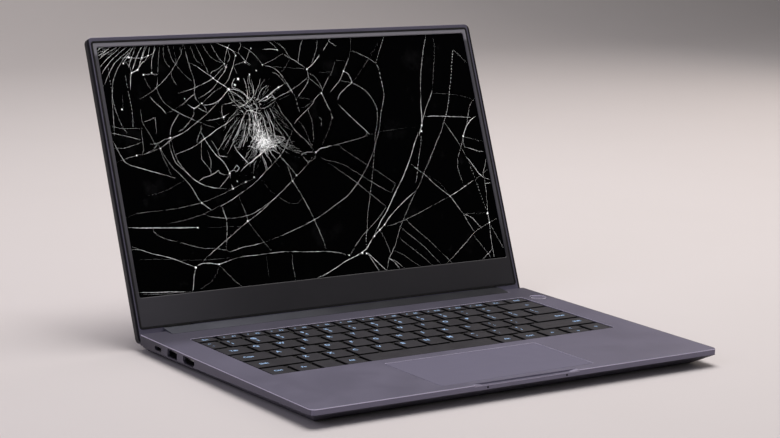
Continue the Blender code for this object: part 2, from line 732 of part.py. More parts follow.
def cap_into(form, low, high):
    """Add one cap to a bmesh: a flat tile with round corners that narrows to its top."""
    top = DECK - CAP_TOP_DROP
    rings = []
    for inset, level in ((0, top - CAP_THICKNESS), (CAP_TAPER, top)):
        outline = rounded(
            (low[0] + inset, low[1] + inset), (high[0] - inset, high[1] - inset),
            CAP_CORNER - inset, CAP_CORNER_STEPS)
        rings.append([form.verts.new((x, y, level)) for x, y in outline])
    count = len(rings[0])
    form.faces.new(list(reversed(rings[0])))
    form.faces.new(rings[1])
    for i in range(count):
        j = (i + 1) % count
        form.faces.new((rings[0][i], rings[0][j], rings[1][j], rings[1][i]))


def stem_corners(low, high, grow=0.0, into_cap=0.5):
    """Corners of the guide stem under a cap, reaching into the keyboard plate."""
    x = (low[0] + high[0]) / 2
    y = (low[1] + high[1]) / 2
    half = min(STEM_SIZE, high[1] - low[1] - 2 * MM) / 2 + grow
    bottom = PLATE_TOP - PLATE_THICKNESS * 0.75
    top = DECK - CAP_TOP_DROP - CAP_THICKNESS * into_cap
    return (x - half, y - half, bottom), (x + half, y + half, top)


def make_keyboard(finishes):
    """Keyboard plate with the like keys fused to it, and the keys that stand alone."""
    places = key_places()
    fused = [p for p in places if p[0] is None]
    free = [p for p in places if p[0] is not None]
    low = (KEYS_LEFT - PLATE_MARGIN, FRONT + WELL_FROM_FRONT, PLATE_TOP - PLATE_THICKNESS)
    high = (KEYS_LEFT + KEYS_SPAN + PLATE_MARGIN, FRONT + WELL_FROM_FRONT + WELL_DEPTH_Y, PLATE_TOP)
    plate = add("keyboard_plate", boxes((low, high)), finishes["key"])
    holes = []
    for name, near, far in free:
        start, end = stem_corners(near, far, SEAT)
        holes.append(((start[0], start[1], low[2] - MM), (end[0], end[1], high[2] + MM)))
    cut(plate, boxes(*holes))
    cut(plate, boxes(*[stem_corners(near, far) for _, near, far in fused]), "UNION")

    def caps(form):
        for _, near, far in fused:
            cap_into(form, near, far)
    cut(plate, mesh_of(caps), "UNION")
    for name, near, far in free:
        item = add(name, mesh_of(lambda form: cap_into(form, near, far)), finishes["key"])
        cut(item, boxes(stem_corners(near, far)), "UNION")
        move_origin(item, ((near[0] + far[0]) / 2, (near[1] + far[1]) / 2, DECK - CAP_TOP_DROP))


def move_origin(item, place):
    """Set an object's origin without moving its form."""
    item.data.transform(Matrix.Translation(-Vector(place)))
    item.location = place


def key_hole_boxes():
    """Holes of the sunken web: one for each cap, and one for the half-height pair."""
    single = [(low, high) for name, low, high in key_places() if name not in ARROW_PAIR]
    pair = [(low, high) for name, low, high in key_places() if name in ARROW_PAIR]
    single.append((pair[0][0], pair[1][1]))
    return [
        ((low[0] - CAP_CLEARANCE, low[1] - CAP_CLEARANCE, PLATE_TOP - MM),
         (high[0] + CAP_CLEARANCE, high[1] + CAP_CLEARANCE, DECK + MM))
        for low, high in single
    ]


def port_outline(kind, before_hinge, below, grow):
    """Outline of a port in the side wall, as Y and Z."""
    y = AXIS_Y - before_hinge
    z = DECK - below
    if kind == "usb_c":
        half = USB_C_WIDTH / 2 + grow
        tall = USB_C_HEIGHT / 2 + grow
        return rounded((y - half, z - tall), (y + half, z + tall), tall * 0.98, 5)
    if kind == "usb_a":
        half = USB_A_WIDTH / 2 + grow
        tall = USB_A_HEIGHT / 2 + grow
        return rounded((y - half, z - tall), (y + half, z + tall), 0.4 * MM, 2)
    if kind == "hdmi":
        half = HDMI_WIDTH / 2 + grow
        tall = HDMI_HEIGHT / 2 + grow
        foot = half - HDMI_TAPER
        shoulder = z - tall + HDMI_TAPER
        return [
            (y + half, z + tall), (y - half, z + tall), (y - half, shoulder),
            (y - foot, z - tall), (y + foot, z - tall), (y + half, shoulder)]
    return arc((y, z), JACK_RADIUS + grow, 0, 2 * math.pi, 20)[:-1]


PORTS = (
    ("usb_c_socket", "usb_c", -1, USB_C_BEFORE_HINGE, USB_C_BELOW),
    ("usb_a_socket_left", "usb_a", -1, USB_A_BEFORE_HINGE, USB_A_BELOW),
    ("hdmi_socket", "hdmi", -1, HDMI_BEFORE_HINGE, HDMI_BELOW),
    ("usb_a_socket_right", "usb_a", 1, RIGHT_USB_BEFORE_HINGE, USB_A_BELOW),
    ("audio_jack", "jack", 1, JACK_BEFORE_HINGE, JACK_BELOW),
)


def finger_notch():
    """Cutter of the scoop in the front edge that a finger opens the lid by."""
    outer = FINGER_NOTCH_HALF
    inner = outer - FINGER_NOTCH_RAMP
    outline = [
        (-outer, MM), (-outer, 0), (-inner, -FINGER_NOTCH_DEPTH), (inner, -FINGER_NOTCH_DEPTH),
        (outer, 0), (outer, MM)]
    mesh = slab([outline], -FINGER_NOTCH_REACH, MM)
    mesh.transform(Matrix.Translation((0, FRONT, DECK)) @ Matrix.Rotation(math.pi / 2, 4, "X"))
    return mesh


def exhaust_slots():
    """Slots through the wall in front of the hinge bar, behind the fins."""
    span = 2 * FAN_HOUSING_HALF
    pitch = span / EXHAUST_SLOTS
    low = DECK - EXHAUST_BELOW_DECK - EXHAUST_SLOT_HEIGHT / 2
    found = []
    for i in range(EXHAUST_SLOTS):
        x = FAN_X - span / 2 + (i + 0.5) * pitch
        found.append((
            (x - EXHAUST_SLOT_WIDTH / 2, FRONT + CAVITY_REAR - MM, low),
            (x + EXHAUST_SLOT_WIDTH / 2, AXIS_Y - NOTCH_LIP, low + EXHAUST_SLOT_HEIGHT)))
    return found


def make_top_case(finishes):
    """Deck with its side walls, keyboard well, touchpad and button openings and ports."""
    item = base_shell("top_case", finishes["aluminium"], True)
    for pocket in ear_pockets():
        cut(item, pocket)
    near = NOTCH_HALF - MM
    far = NOTCH_HALF + EAR_WALL + MM
    cut(item, rods(*[
        (PIN_RADIUS + SEAT, (side * near, AXIS_Y, AXIS_Z), (side * far, AXIS_Y, AXIS_Z))
        for side in (-1, 1)]))
    cut(item, boxes(*exhaust_slots()))
    well_low = (WELL_CENTRE_X - WELL_WIDTH / 2, FRONT + WELL_FROM_FRONT)
    well_high = (WELL_CENTRE_X + WELL_WIDTH / 2, well_low[1] + WELL_DEPTH_Y)
    web = rounded(
        (well_low[0] - WEB_OVERLAP, well_low[1] - WEB_OVERLAP),
        (well_high[0] + WEB_OVERLAP, well_high[1] + WEB_OVERLAP), WELL_CORNER, 2)
    web_bottom = DECK - WEB_DROP - WEB_THICKNESS
    cut(item, slab([web], web_bottom, DECK - DECK_THICKNESS + 0.1 * MM), "UNION")
    well = rounded(well_low, well_high, WELL_CORNER, 3)
    cut(item, slab([well], DECK - WEB_DROP, DECK + MM))
    cut(item, boxes(*key_hole_boxes()))
    pad_half = TOUCHPAD_WIDTH / 2 + TOUCHPAD_GAP
    pad_near = FRONT + TOUCHPAD_FROM_FRONT - TOUCHPAD_GAP
    pad = rounded(
        (-pad_half, pad_near), (pad_half, pad_near + TOUCHPAD_DEPTH + 2 * TOUCHPAD_GAP),
        TOUCHPAD_CORNER + TOUCHPAD_GAP, 3)
    cut(item, slab([pad], DECK - DECK_THICKNESS - MM, DECK + MM))
    cut(item, rods((
        POWER_RADIUS + SEAT, deck_point(POWER_X, POWER_FROM_FRONT, DECK_THICKNESS + MM),
        deck_point(POWER_X, POWER_FROM_FRONT, -MM)), steps=32))
    for _, kind, side, before_hinge, below in PORTS:
        outline = port_outline(kind, before_hinge, below, PORT_CLEARANCE)
        ends = sorted((side * (HALF - WALL - MM), side * (HALF + MM)))
        cut(item, slab([outline], ends[0], ends[1], "YZ"))
    for _, kind, side, before_hinge, below in PORTS:
        outline = port_outline(kind, before_hinge, below, SOCKET_SHEET + SEAT)
        near = [y for y, _ in outline]
        roof = max(z for _, z in outline)
        ends = sorted((side * (HALF - WALL), side * (HALF - WALL - SOCKET_LENGTH - 2 * SEAT)))
        cut(item, boxes(((ends[0], min(near), DECK - BASE_THICKNESS), (ends[1], max(near), roof))))
    cut(item, finger_notch())
    cut(item, rods(*[
        (MIC_RADIUS, deck_point(side * MIC_HALF_SPACING, -MM, MIC_BELOW_DECK),
         deck_point(side * MIC_HALF_SPACING, WALL + MM, MIC_BELOW_DECK)) for side in (-1, 1)], steps=10))
    smooth(item)


def slot_boxes(x, from_front, count, width, pitch, length, low, high):
    """Parallel slots along Y, spread evenly about x."""
    found = []
    for i in range(count):
        left = x + (i - (count - 1) / 2) * pitch - width / 2
        found.append((
            (left, FRONT + from_front - length / 2, low),
            (left + width, FRONT + from_front + length / 2, high)))
    return found


def screw_places():
    """Middle of each recess for a cover screw: three near, two at mid depth, three at the rear."""
    side = HALF - SCREW_FROM_SIDE
    near = FRONT + SCREW_FROM_FRONT
    middle = FRONT + BASE_DEPTH * SCREW_MIDDLE_SHARE
    rear = FRONT + CAVITY_REAR - SCREW_FROM_REAR_WALL
    return [
        (-side, near), (0, near), (side, near), (-side, middle), (side, middle),
        (-side, rear), (0, rear), (side, rear)]


def board_bosses():
    """Places of the posts that carry the boards: six under the main board, two under the other."""
    left = 23.25 * MM - HALF
    middle = -60 * MM
    near = FRONT + MAINBOARD_FROM_FRONT + 6 * MM
    rear = FRONT + MAINBOARD_REAR - 6 * MM
    return [
        (left, near + 4 * MM), (middle, near), (MAINBOARD_RIGHT - 14 * MM, near),
        (left, rear), (middle, rear), (MAINBOARD_RIGHT - 28 * MM, rear),
        (IO_BOARD_WIDE_X + 6 * MM, FRONT + IO_BOARD_FROM_FRONT + 8 * MM),
        (IO_BOARD_NARROW_X + 6 * MM, FRONT + IO_BOARD_REAR - 8 * MM)]


def make_bottom_cover(finishes):
    """Floor of the base with vents, speaker slots, foot recesses, posts and screw holes."""
    item = base_shell("bottom_cover", finishes["aluminium"], False)
    low = FOOT_HEIGHT - MM
    high = FLOOR + MM
    slots = slot_boxes(
        FAN_X, FAN_FROM_FRONT, VENT_SLOTS, VENT_SLOT_WIDTH, VENT_SLOT_PITCH, FAN_INLET * 2, low, high)
    for side in (-1, 1):
        slots += slot_boxes(
            side * SPEAKER_X, SPEAKER_FROM_FRONT, SPEAKER_SLOTS, SPEAKER_SLOT_WIDTH,
            SPEAKER_SLOT_PITCH, SPEAKER_SLOT_LENGTH, low, high)
    cut(item, boxes(*slots))
    for outline in foot_outlines(SEAT).values():
        cut(item, slab([outline], low, FOOT_HEIGHT + FOOT_RECESS))

    def heads(form):
        for x, y in screw_places():
            rod_into(form, SCREW_RECESS_RADIUS, (x, y, low), (x, y, FOOT_HEIGHT + SCREW_RECESS), 12)
    cut(item, mesh_of(heads))
    posts = [
        (BOSS_RADIUS, (x, y, FLOOR - 0.5 * MM), (x, y, FLOOR + BOARD_BOSS)) for x, y in board_bosses()]
    cut(item, rods(*posts, steps=8), "UNION")
    smooth(item)


def foot_outlines(grow):
    """Outlines of the three feet, or of their recesses."""
    feet = {}
    half = REAR_FOOT_LENGTH / 2 + grow
    wide = REAR_FOOT_WIDTH / 2 + grow
    y = FRONT + REAR_FOOT_FROM_FRONT
    feet["rear_foot"] = rounded((-half, y - wide), (half, y + wide), wide * 0.98, 3)
    half = FRONT_FOOT_LENGTH / 2 + grow
    wide = FRONT_FOOT_WIDTH / 2 + grow
    y = FRONT + FRONT_FOOT_FROM_FRONT
    for name, side in (("front_foot_left", -1), ("front_foot_right", 1)):
        x = side * FRONT_FOOT_X
        feet[name] = rounded((x - half, y - wide), (x + half, y + wide), wide * 0.98, 3)
    return feet


def make_underside(finishes):
    """Three glued feet."""
    for name, outline in foot_outlines(0).items():
        mesh = slab([outline], 0, FOOT_HEIGHT + FOOT_RECESS - SEAT)
        bevel_where(mesh, lambda co: co.z < 0.01 * MM, FOOT_EDGE, 1)
        add(name, mesh, finishes["rubber"])


def make_touch_parts(finishes):
    """Touchpad on its rear edge, and the power button with its retaining flange."""
    low = (-TOUCHPAD_WIDTH / 2, FRONT + TOUCHPAD_FROM_FRONT)
    high = (TOUCHPAD_WIDTH / 2, low[1] + TOUCHPAD_DEPTH)
    top = DECK - TOUCHPAD_DROP
    mesh = slab([rounded(low, high, TOUCHPAD_CORNER, 3)], top - TOUCHPAD_THICKNESS, top)
    bevel_where(mesh, lambda co: co.z > top - 0.01 * MM, 0.15 * MM, 1)
    pad = add("touchpad", mesh, finishes["aluminium"])
    move_origin(pad, (0, high[1], top - TOUCHPAD_THICKNESS / 2))

    def button(form):
        top = POWER_DROP
        rod_into(
            form, POWER_RADIUS, deck_point(POWER_X, POWER_FROM_FRONT, top + POWER_THICKNESS),
            deck_point(POWER_X, POWER_FROM_FRONT, top), 32)
    item = add("power_button", mesh_of(button), finishes["aluminium"])
    flange_top = DECK_THICKNESS + SEAT
    cut(item, rods((
        POWER_RADIUS + POWER_FLANGE,
        deck_point(POWER_X, POWER_FROM_FRONT, flange_top + POWER_FLANGE_THICKNESS),
        deck_point(POWER_X, POWER_FROM_FRONT, flange_top)), steps=32), "UNION")
    smooth(item)
    move_origin(item, deck_point(POWER_X, POWER_FROM_FRONT, POWER_DROP))


def make_ports(finishes):
    """Sockets behind the side walls: a drawn sheet shell, closed at its back, with a tongue."""
    front = HALF - WALL - SEAT
    back = front - SOCKET_LENGTH
    stop = back + SOCKET_BACK
    for name, kind, side, before_hinge, below in PORTS:
        ends = sorted((side * front, side * back))
        shell = slab([port_outline(kind, before_hinge, below, SOCKET_SHEET)], ends[0], ends[1], "YZ")
        item = add(name, shell, finishes["steel"])
        ends = sorted((side * (front + MM), side * stop))
        cut(item, slab([port_outline(kind, before_hinge, below, 0)], ends[0], ends[1], "YZ"))
        if kind in TONGUES:
            half, lift, thick = TONGUES[kind]
            y = AXIS_Y - before_hinge
            z = DECK - below + lift
            ends = sorted((side * (front - TONGUE_FROM_MOUTH), side * (stop - 0.5 * MM)))
            cut(item, boxes((
                (ends[0], y - half, z - thick), (ends[1], y + half, z + thick))), "UNION")
        smooth(item)


def make_boards(finishes):
    """Main board, port board and the cards on it."""
    bottom = FLOOR + BOARD_BOSS + SEAT
    top = bottom + BOARD_THICKNESS
    socket_back = HALF - WALL - SEAT - SOCKET_LENGTH
    left = SEAT - socket_back
    near = FRONT + MAINBOARD_FROM_FRONT
    item = add(
        "mainboard", boxes(((left, near, bottom), (MAINBOARD_RIGHT, FRONT + MAINBOARD_REAR, top))),
        finishes["board"])
    chips = []
    for x, before_hinge, width, depth in CHIPS:
        y = AXIS_Y - before_hinge
        chips.append((
            (x - width / 2, y - depth / 2, top - CHIP_SINK),
            (x + width / 2, y + depth / 2, top + CHIP_HEIGHT)))
    cut(item, boxes(*chips), "UNION")

    right = socket_back - SEAT
    io_near = FRONT + IO_BOARD_FROM_FRONT
    io_step = FRONT + IO_BOARD_STEP
    io_rear = FRONT + IO_BOARD_REAR
    side = [
        (IO_BOARD_WIDE_X, io_near), (right, io_near), (right, io_rear),
        (IO_BOARD_NARROW_X, io_rear), (IO_BOARD_NARROW_X, io_step), (IO_BOARD_WIDE_X, io_step)]
    add("io_board", slab([side], bottom, top), finishes["board"])

    low = top + SEAT
    high = low + CARD_THICKNESS
    for name, (x, behind, width, depth) in CARDS.items():
        y = near + behind
        item = add(name, boxes(((x, y, low), (x + width, y + depth, high))), finishes["board"])
        cut(item, boxes(*[
            ((x + width * a, y + CARD_MARGIN, high - CHIP_SINK),
             (x + width * b, y + depth - CARD_MARGIN, high + CHIP_HEIGHT))
            for a, b in CARD_CHIPS]), "UNION")


def make_battery(finishes):
    """Flat battery pack of equal pouches in one frame, with grooves between them."""
    half = SPEAKER_X - SPEAKER_WIDTH / 2 - BATTERY_TO_SPEAKER
    near = FRONT + BATTERY_FROM_FRONT
    far = FRONT + WELL_FROM_FRONT - BATTERY_TO_WELL
    top = FLOOR + SEAT + BATTERY_THICKNESS
    item = add("battery", boxes(((-half, near, FLOOR + SEAT), (half, far, top))), finishes["black_plastic"])
    grooves = []
    for i in range(1, BATTERY_CELLS):
        x = half * (2 * i / BATTERY_CELLS - 1)
        grooves.append((
            (x - BATTERY_GROOVE_HALF, near - MM, top - BATTERY_GROOVE_DEPTH),
            (x + BATTERY_GROOVE_HALF, far + MM, top + MM)))
    cut(item, boxes(*grooves))


def make_speakers(finishes):
    """A flat speaker box over each grille, with its round diaphragm seat."""
    low = FLOOR + SEAT
    y = FRONT + SPEAKER_FROM_FRONT
    for name, side in (("speaker_left", -1), ("speaker_right", 1)):
        x = side * SPEAKER_X
        outline = rounded(
            (x - SPEAKER_WIDTH / 2, y - SPEAKER_LENGTH / 2),
            (x + SPEAKER_WIDTH / 2, y + SPEAKER_LENGTH / 2),
            SPEAKER_CORNER, 3)
        item = add(name, slab([outline], low, low + SPEAKER_HEIGHT), finishes["black_plastic"])
        cut(item, rods((DIAPHRAGM_RADIUS, (x, y, low - MM), (x, y, low + DIAPHRAGM_DEPTH)), steps=24))
        smooth(item)


def make_fan(finishes):
    """Blower: a scroll housing with two inlets and an outlet to the fins, and its rotor."""
    x = FAN_X
    y = FRONT + FAN_FROM_FRONT
    low = FLOOR + SEAT
    high = low + FAN_HEIGHT
    half = FAN_HOUSING_HALF
    outlet = FRONT + CAVITY_REAR - SEAT - FIN_DEPTH - SEAT
    outline = arc((x, y), half, math.pi, 2 * math.pi, 20) + [(x + half, outlet), (x - half, outlet)]
    housing = add("fan_housing", slab([outline], low, high), finishes["black_plastic"])
    room = FAN_ROOM
    inner = arc((x, y), room, math.pi, 2 * math.pi, 20) + [(x + room, outlet + MM), (x - room, outlet + MM)]
    cut(housing, slab([inner], low + FAN_SHEET, high - FAN_SHEET))
    cut(housing, rods((FAN_INLET, (x, y, high - FAN_SHEET - MM), (x, y, high + MM)), steps=30))
    windows = []
    for k in range(4):
        start = k * math.pi / 2
        outer = arc((x, y), FAN_INLET, start + 0.1, start + math.pi / 2 - 0.1, 6)
        inner = arc((x, y), FAN_HUB_SEAT, start + math.pi / 2 - 0.28, start + 0.28, 3)
        windows.append(outer + inner)
    cut(housing, slab(windows, low - MM, low + MM))
    cut(housing, rods((
        FAN_SPINDLE, (x, y, low + FAN_SHEET / 2),
        (x, y, high - FAN_SHEET - FAN_HUB_ROOF - 2 * SEAT)), steps=16), "UNION")
    smooth(housing)
    make_rotor(finishes, (x, y), low + FAN_SHEET + SEAT, high - FAN_SHEET - SEAT)
    make_fins(finishes, outlet + SEAT, low, high)


def blade_outline(centre, turn):
    """Outline of one fan blade: its two sides follow a curve that bends back to its tip."""
    sides = ([], [])
    for share in (-0.05, 0.35, 0.7, 1):
        r = FAN_HUB_RADIUS + (FAN_BLADE_REACH - FAN_HUB_RADIUS) * share
        bend = turn + FAN_BLADE_SWEEP * max(share, 0) ** 1.3
        for side, shift in zip(sides, (-FAN_BLADE_HALF_THICKNESS, FAN_BLADE_HALF_THICKNESS)):
            angle = bend + shift / r
            side.append((centre[0] + r * math.cos(angle), centre[1] + r * math.sin(angle)))
    return sides[0] + sides[1][::-1]


def make_rotor(finishes, centre, bottom, top):
    """Fan rotor: a hub bored for its spindle, with curved blades all round."""
    x, y = centre
    rotor = add("fan_rotor", rods((FAN_HUB_RADIUS, (x, y, bottom), (x, y, top)), steps=32),
                finishes["black_plastic"])

    def blades(form):
        for i in range(FAN_BLADES):
            points = blade_outline(centre, 2 * math.pi * i / FAN_BLADES)
            lower = [form.verts.new((a, b, bottom + 0.4 * MM)) for a, b in points]
            upper = [form.verts.new((a, b, top - 0.2 * MM)) for a, b in points]
            form.faces.new(lower[::-1])
            form.faces.new(upper)
            for k in range(len(points)):
                j = (k + 1) % len(points)
                form.faces.new((lower[k], lower[j], upper[j], upper[k]))
    cut(rotor, mesh_of(blades), "UNION")
    cut(rotor, rods((FAN_SPINDLE + SEAT, (x, y, bottom - MM), (x, y, top - FAN_HUB_ROOF)), steps=16))
    smooth(rotor)
    move_origin(rotor, (x, y, (bottom + top) / 2))


def make_fins(finishes, near, low, high):
    """Stack of fins between two plates, open to the fan and to the exhaust slots."""
    half = FAN_HOUSING_HALF
    far = near + FIN_DEPTH
    block = boxes(((FAN_X - half, near, low), (FAN_X + half, far, high)))
    stack = add("fin_stack", block, finishes["copper"])
    left = FAN_X - half + FIN_END
    pitch = (2 * half - 2 * FIN_END) / FIN_COUNT
    cut(stack, boxes(*[
        ((left + i * pitch + FIN_THICKNESS / 2, near - MM, low + FIN_PLATE),
         (left + (i + 1) * pitch - FIN_THICKNESS / 2, far + MM, high - FIN_PLATE))
        for i in range(FIN_COUNT)]))


def make_heat_pipe(finishes):
    """Flattened pipe from the processor to the fins, on a plate over the chip."""
    chip_top = FLOOR + BOARD_BOSS + SEAT + BOARD_THICKNESS + CHIP_HEIGHT
    fin_top = FLOOR + SEAT + FAN_HEIGHT
    low = max(chip_top, fin_top) + SEAT
    half = PIPE_WIDTH / 2
    rear = FRONT + CAVITY_REAR - MM - half
    x, before_hinge, width, depth = PROCESSOR
    y = AXIS_Y - before_hinge
    route = [
        (x - 23 * MM, y), (x + 9 * MM, y), (FAN_X - 74 * MM, y + 7 * MM), (FAN_X - 54 * MM, y + 19 * MM),
        (FAN_X - 40 * MM, rear - 1.2 * MM), (FAN_X - 26 * MM, rear), (FAN_X - 2 * MM, rear),
        (FAN_X + FAN_HOUSING_HALF, rear)]
    route = smooth_route(route, 4)
    curve = bpy.data.curves.new("route", "CURVE")
    curve.dimensions = "3D"
    curve.bevel_depth = half
    curve.bevel_resolution = 2
    curve.use_fill_caps = True
    spline = curve.splines.new("POLY")
    spline.points.add(len(route) - 1)
    for point, (a, b) in zip(spline.points, route):
        point.co = (a, b, 0, 1)
    mesh = solid_of(curve)
    flat = Matrix.Scale(PIPE_THICKNESS / PIPE_WIDTH, 4, (0, 0, 1))
    mesh.transform(Matrix.Translation((0, 0, low + PIPE_THICKNESS / 2)) @ flat)
    item = add("heat_pipe", mesh, finishes["copper"])
    plate_x = width / 2 + COLD_PLATE_MARGIN
    plate_y = depth / 2 + COLD_PLATE_MARGIN
    cut(item, boxes((
        (x - plate_x, y - plate_y, chip_top + SEAT), (x + plate_x, y + plate_y, low + 0.5 * MM))), "UNION")
    smooth(item)


def smooth_route(points, steps):
    """Points of a smooth curve through the given ones (Catmull-Rom)."""
    padded = [points[0]] + list(points) + [points[-1]]
    found = []
    for a, b, c, d in zip(padded, padded[1:], padded[2:], padded[3:]):
        for t in np.linspace(0, 1, steps, endpoint=False):
            found.append(tuple(
                0.5 * ((2 * b[k]) + (c[k] - a[k]) * t + (2 * a[k] - 5 * b[k] + 4 * c[k] - d[k]) * t * t
                       + (3 * b[k] - a[k] - 3 * c[k] + d[k]) * t ** 3) for k in (0, 1)))
    found.append(points[-1])
    return found


def lid_frame():
    """Empty on the hinge axis: its Y runs up the lid, its Z out of the lid's face."""
    frame = bpy.data.objects.new("lid_axis", None)
    parts.objects.link(frame)
    frame.location = AXIS
    frame.rotation_euler = (math.pi - LID_OPEN, 0, 0)
    bpy.context.view_layer.update()
    return frame


def make_lid_shell(finishes, frame):
    """Drawn aluminium tray: floor, raised rim, solid lower band with the hinge pockets."""
    outline = rounded((-HALF, -LID_TAIL), (HALF, LID_TOP), PLAN_CORNER, 5)
    mesh = slab([outline], LID_OUTER, LID_FACE)
    bevel_where(mesh, lambda co: co.z < LID_OUTER + 0.01 * MM, LID_EDGE_ROUND, 3)
    bevel_where(mesh, lambda co: co.z > LID_FACE - 0.01 * MM, 0.3 * MM, 1)
    item = add("lid_back_cover", mesh, finishes["aluminium"], frame)
    tray = rounded((-TRAY_HALF, TRAY_BOTTOM), (TRAY_HALF, TRAY_TOP), 2 * MM, 3)
    cut(item, slab([tray], LID_OUTER + LID_FLOOR, LID_FACE + MM))
    near = BAR_HALF - KNUCKLE_INSET - KNUCKLE_LENGTH - SEAT
    far = BAR_HALF - KNUCKLE_INSET + SEAT
    floor = LID_FACE - leaf_depth() - LEAF_THICKNESS - SEAT
    cut(item, boxes(*[
        ((min(side * near, side * far), -LID_TAIL + 0.9 * MM, floor),
         (max(side * near, side * far), TRAY_BOTTOM + MM, LID_FACE + MM)) for side in (-1, 1)]))
    smooth(item)


def leaf_depth():
    """Depth of the hinge leaf's front below the lid's face."""
    return LID_THICKNESS - LID_FLOOR - SEAT - LEAF_THICKNESS


def make_display(finishes, frame):
    """Bezel, seal, cracked panel and the light box behind it."""
    outer = TRAY_HALF - SEAT
    low = TRAY_BOTTOM + SEAT
    high = TRAY_TOP - SEAT
    inner = outer - GASKET_WIDTH
    ring = [
        rounded((-outer, low), (outer, high), 2 * MM, 4),
        rounded((-inner, low + GASKET_WIDTH), (inner, high - GASKET_WIDTH), 1.2 * MM, 3)]
    mesh = slab(ring, LID_FACE + GASKET_PROUD - GASKET_THICKNESS, LID_FACE + GASKET_PROUD)
    add("lid_gasket", mesh, finishes["rubber"], frame)

    edge = inner - SEAT
    ring = [
        rounded((-edge, low + GASKET_WIDTH + SEAT), (edge, high - GASKET_WIDTH - SEAT), 1.0 * MM, 3),
        rounded((-DISPLAY_WIDTH / 2, DISPLAY_BOTTOM),
                (DISPLAY_WIDTH / 2, DISPLAY_BOTTOM + DISPLAY_HEIGHT), DISPLAY_CORNER, 3)]
    mesh = slab(ring, LID_FACE - BEZEL_THICKNESS, LID_FACE)
    limit = DISPLAY_WIDTH / 2 + 0.1 * MM
    bevel_where(
        mesh, lambda co: co.z > LID_FACE - 0.01 * MM and abs(co.x) < limit
        and DISPLAY_BOTTOM - 0.1 * MM < co.y < DISPLAY_BOTTOM + DISPLAY_HEIGHT + 0.1 * MM, BEZEL_BEVEL, 1)
    add("display_bezel", mesh, finishes["bezel"], frame)

    half = DISPLAY_WIDTH / 2 + GLASS_MARGIN
    top = DISPLAY_BOTTOM + DISPLAY_HEIGHT + GLASS_MARGIN
    back = GLASS_FRONT - GLASS_THICKNESS
    glass = add("lcd_glass", boxes(
        ((-half, DISPLAY_BOTTOM - GLASS_LEDGE, back), (half, top, GLASS_FRONT))), finishes["glass"], frame)
    cut_cracks(glass)
    front = back - SEAT
    add("lcd_backlight", boxes(
        ((-half, DISPLAY_BOTTOM - BACKLIGHT_LEDGE, front - BACKLIGHT_THICKNESS), (half, top, front))),
        finishes["panel"], frame)


def groove_into(form, points):
    """Add a V-shaped groove along a chain of points on the display, in millimetres, to a bmesh."""
    above = GLASS_FRONT + CRACK_OVERLAP
    keel = GLASS_FRONT - CRACK_DEPTH
    half = CRACK_WIDTH / 2
    rings = []
    for i, point in enumerate(points):
        before = points[max(i - 1, 0)]
        after = points[min(i + 1, len(points) - 1)]
        along = Vector((after[0] - before[0], after[1] - before[1])).normalized()
        x = point[0] * MM
        y = DISPLAY_BOTTOM + point[1] * MM
        rings.append([
            form.verts.new((x - along.y * half, y + along.x * half, above)),
            form.verts.new((x, y, keel)),
            form.verts.new((x + along.y * half, y - along.x * half, above))])
    form.faces.new(rings[0])
    form.faces.new(rings[-1][::-1])
    for a, b in zip(rings, rings[1:]):
        for k in range(3):
            j = (k + 1) % 3
            form.faces.new((a[k], b[k], b[j], a[j]))


def from_impact(radius, angle):
    """A point of the display at a distance and an angle from the impact, in millimetres."""
    return IMPACT[0] + radius * math.cos(angle), IMPACT[1] + radius * math.sin(angle)


def cut_cracks(glass):
    """The impact pit, the short cracks round it and the long cracks across the display."""
    pick = np.random.RandomState(CRACK_SEED)

    def pit(form):
        ring = []
        for k in range(CRATER_POINTS):
            x, y = from_impact(CRATER_RADIUS * pick.uniform(0.7, 1.3), 2 * math.pi * k / CRATER_POINTS)
            ring.append(form.verts.new((x * MM, DISPLAY_BOTTOM + y * MM, GLASS_FRONT + CRACK_OVERLAP)))
        tip = form.verts.new((IMPACT[0] * MM, DISPLAY_BOTTOM + IMPACT[1] * MM, GLASS_FRONT - CRATER_DEPTH))
        form.faces.new(ring)
        for k in range(CRATER_POINTS):
            form.faces.new((ring[k], tip, ring[(k + 1) % CRATER_POINTS]))
    cut(glass, mesh_of(pit))

    def rays(form):
        for k in range(RAY_COUNT):
            angle = 2 * math.pi * (k + pick.uniform(-0.2, 0.2)) / RAY_COUNT
            reach = pick.uniform(*RAY_REACH)
            groove_into(form, [
                from_impact(1.9 * CRATER_RADIUS, angle), from_impact(reach / 2, angle + 0.04),
                from_impact(reach, angle - 0.03)])
    cut(glass, mesh_of(rays), repeat=True)

    for group in (CORNER_CRACKS, SIDE_CRACKS, LONG_CRACKS):
        def chains(form):
            for points in group:
                groove_into(form, points)
        cut(glass, mesh_of(chains), repeat=True)


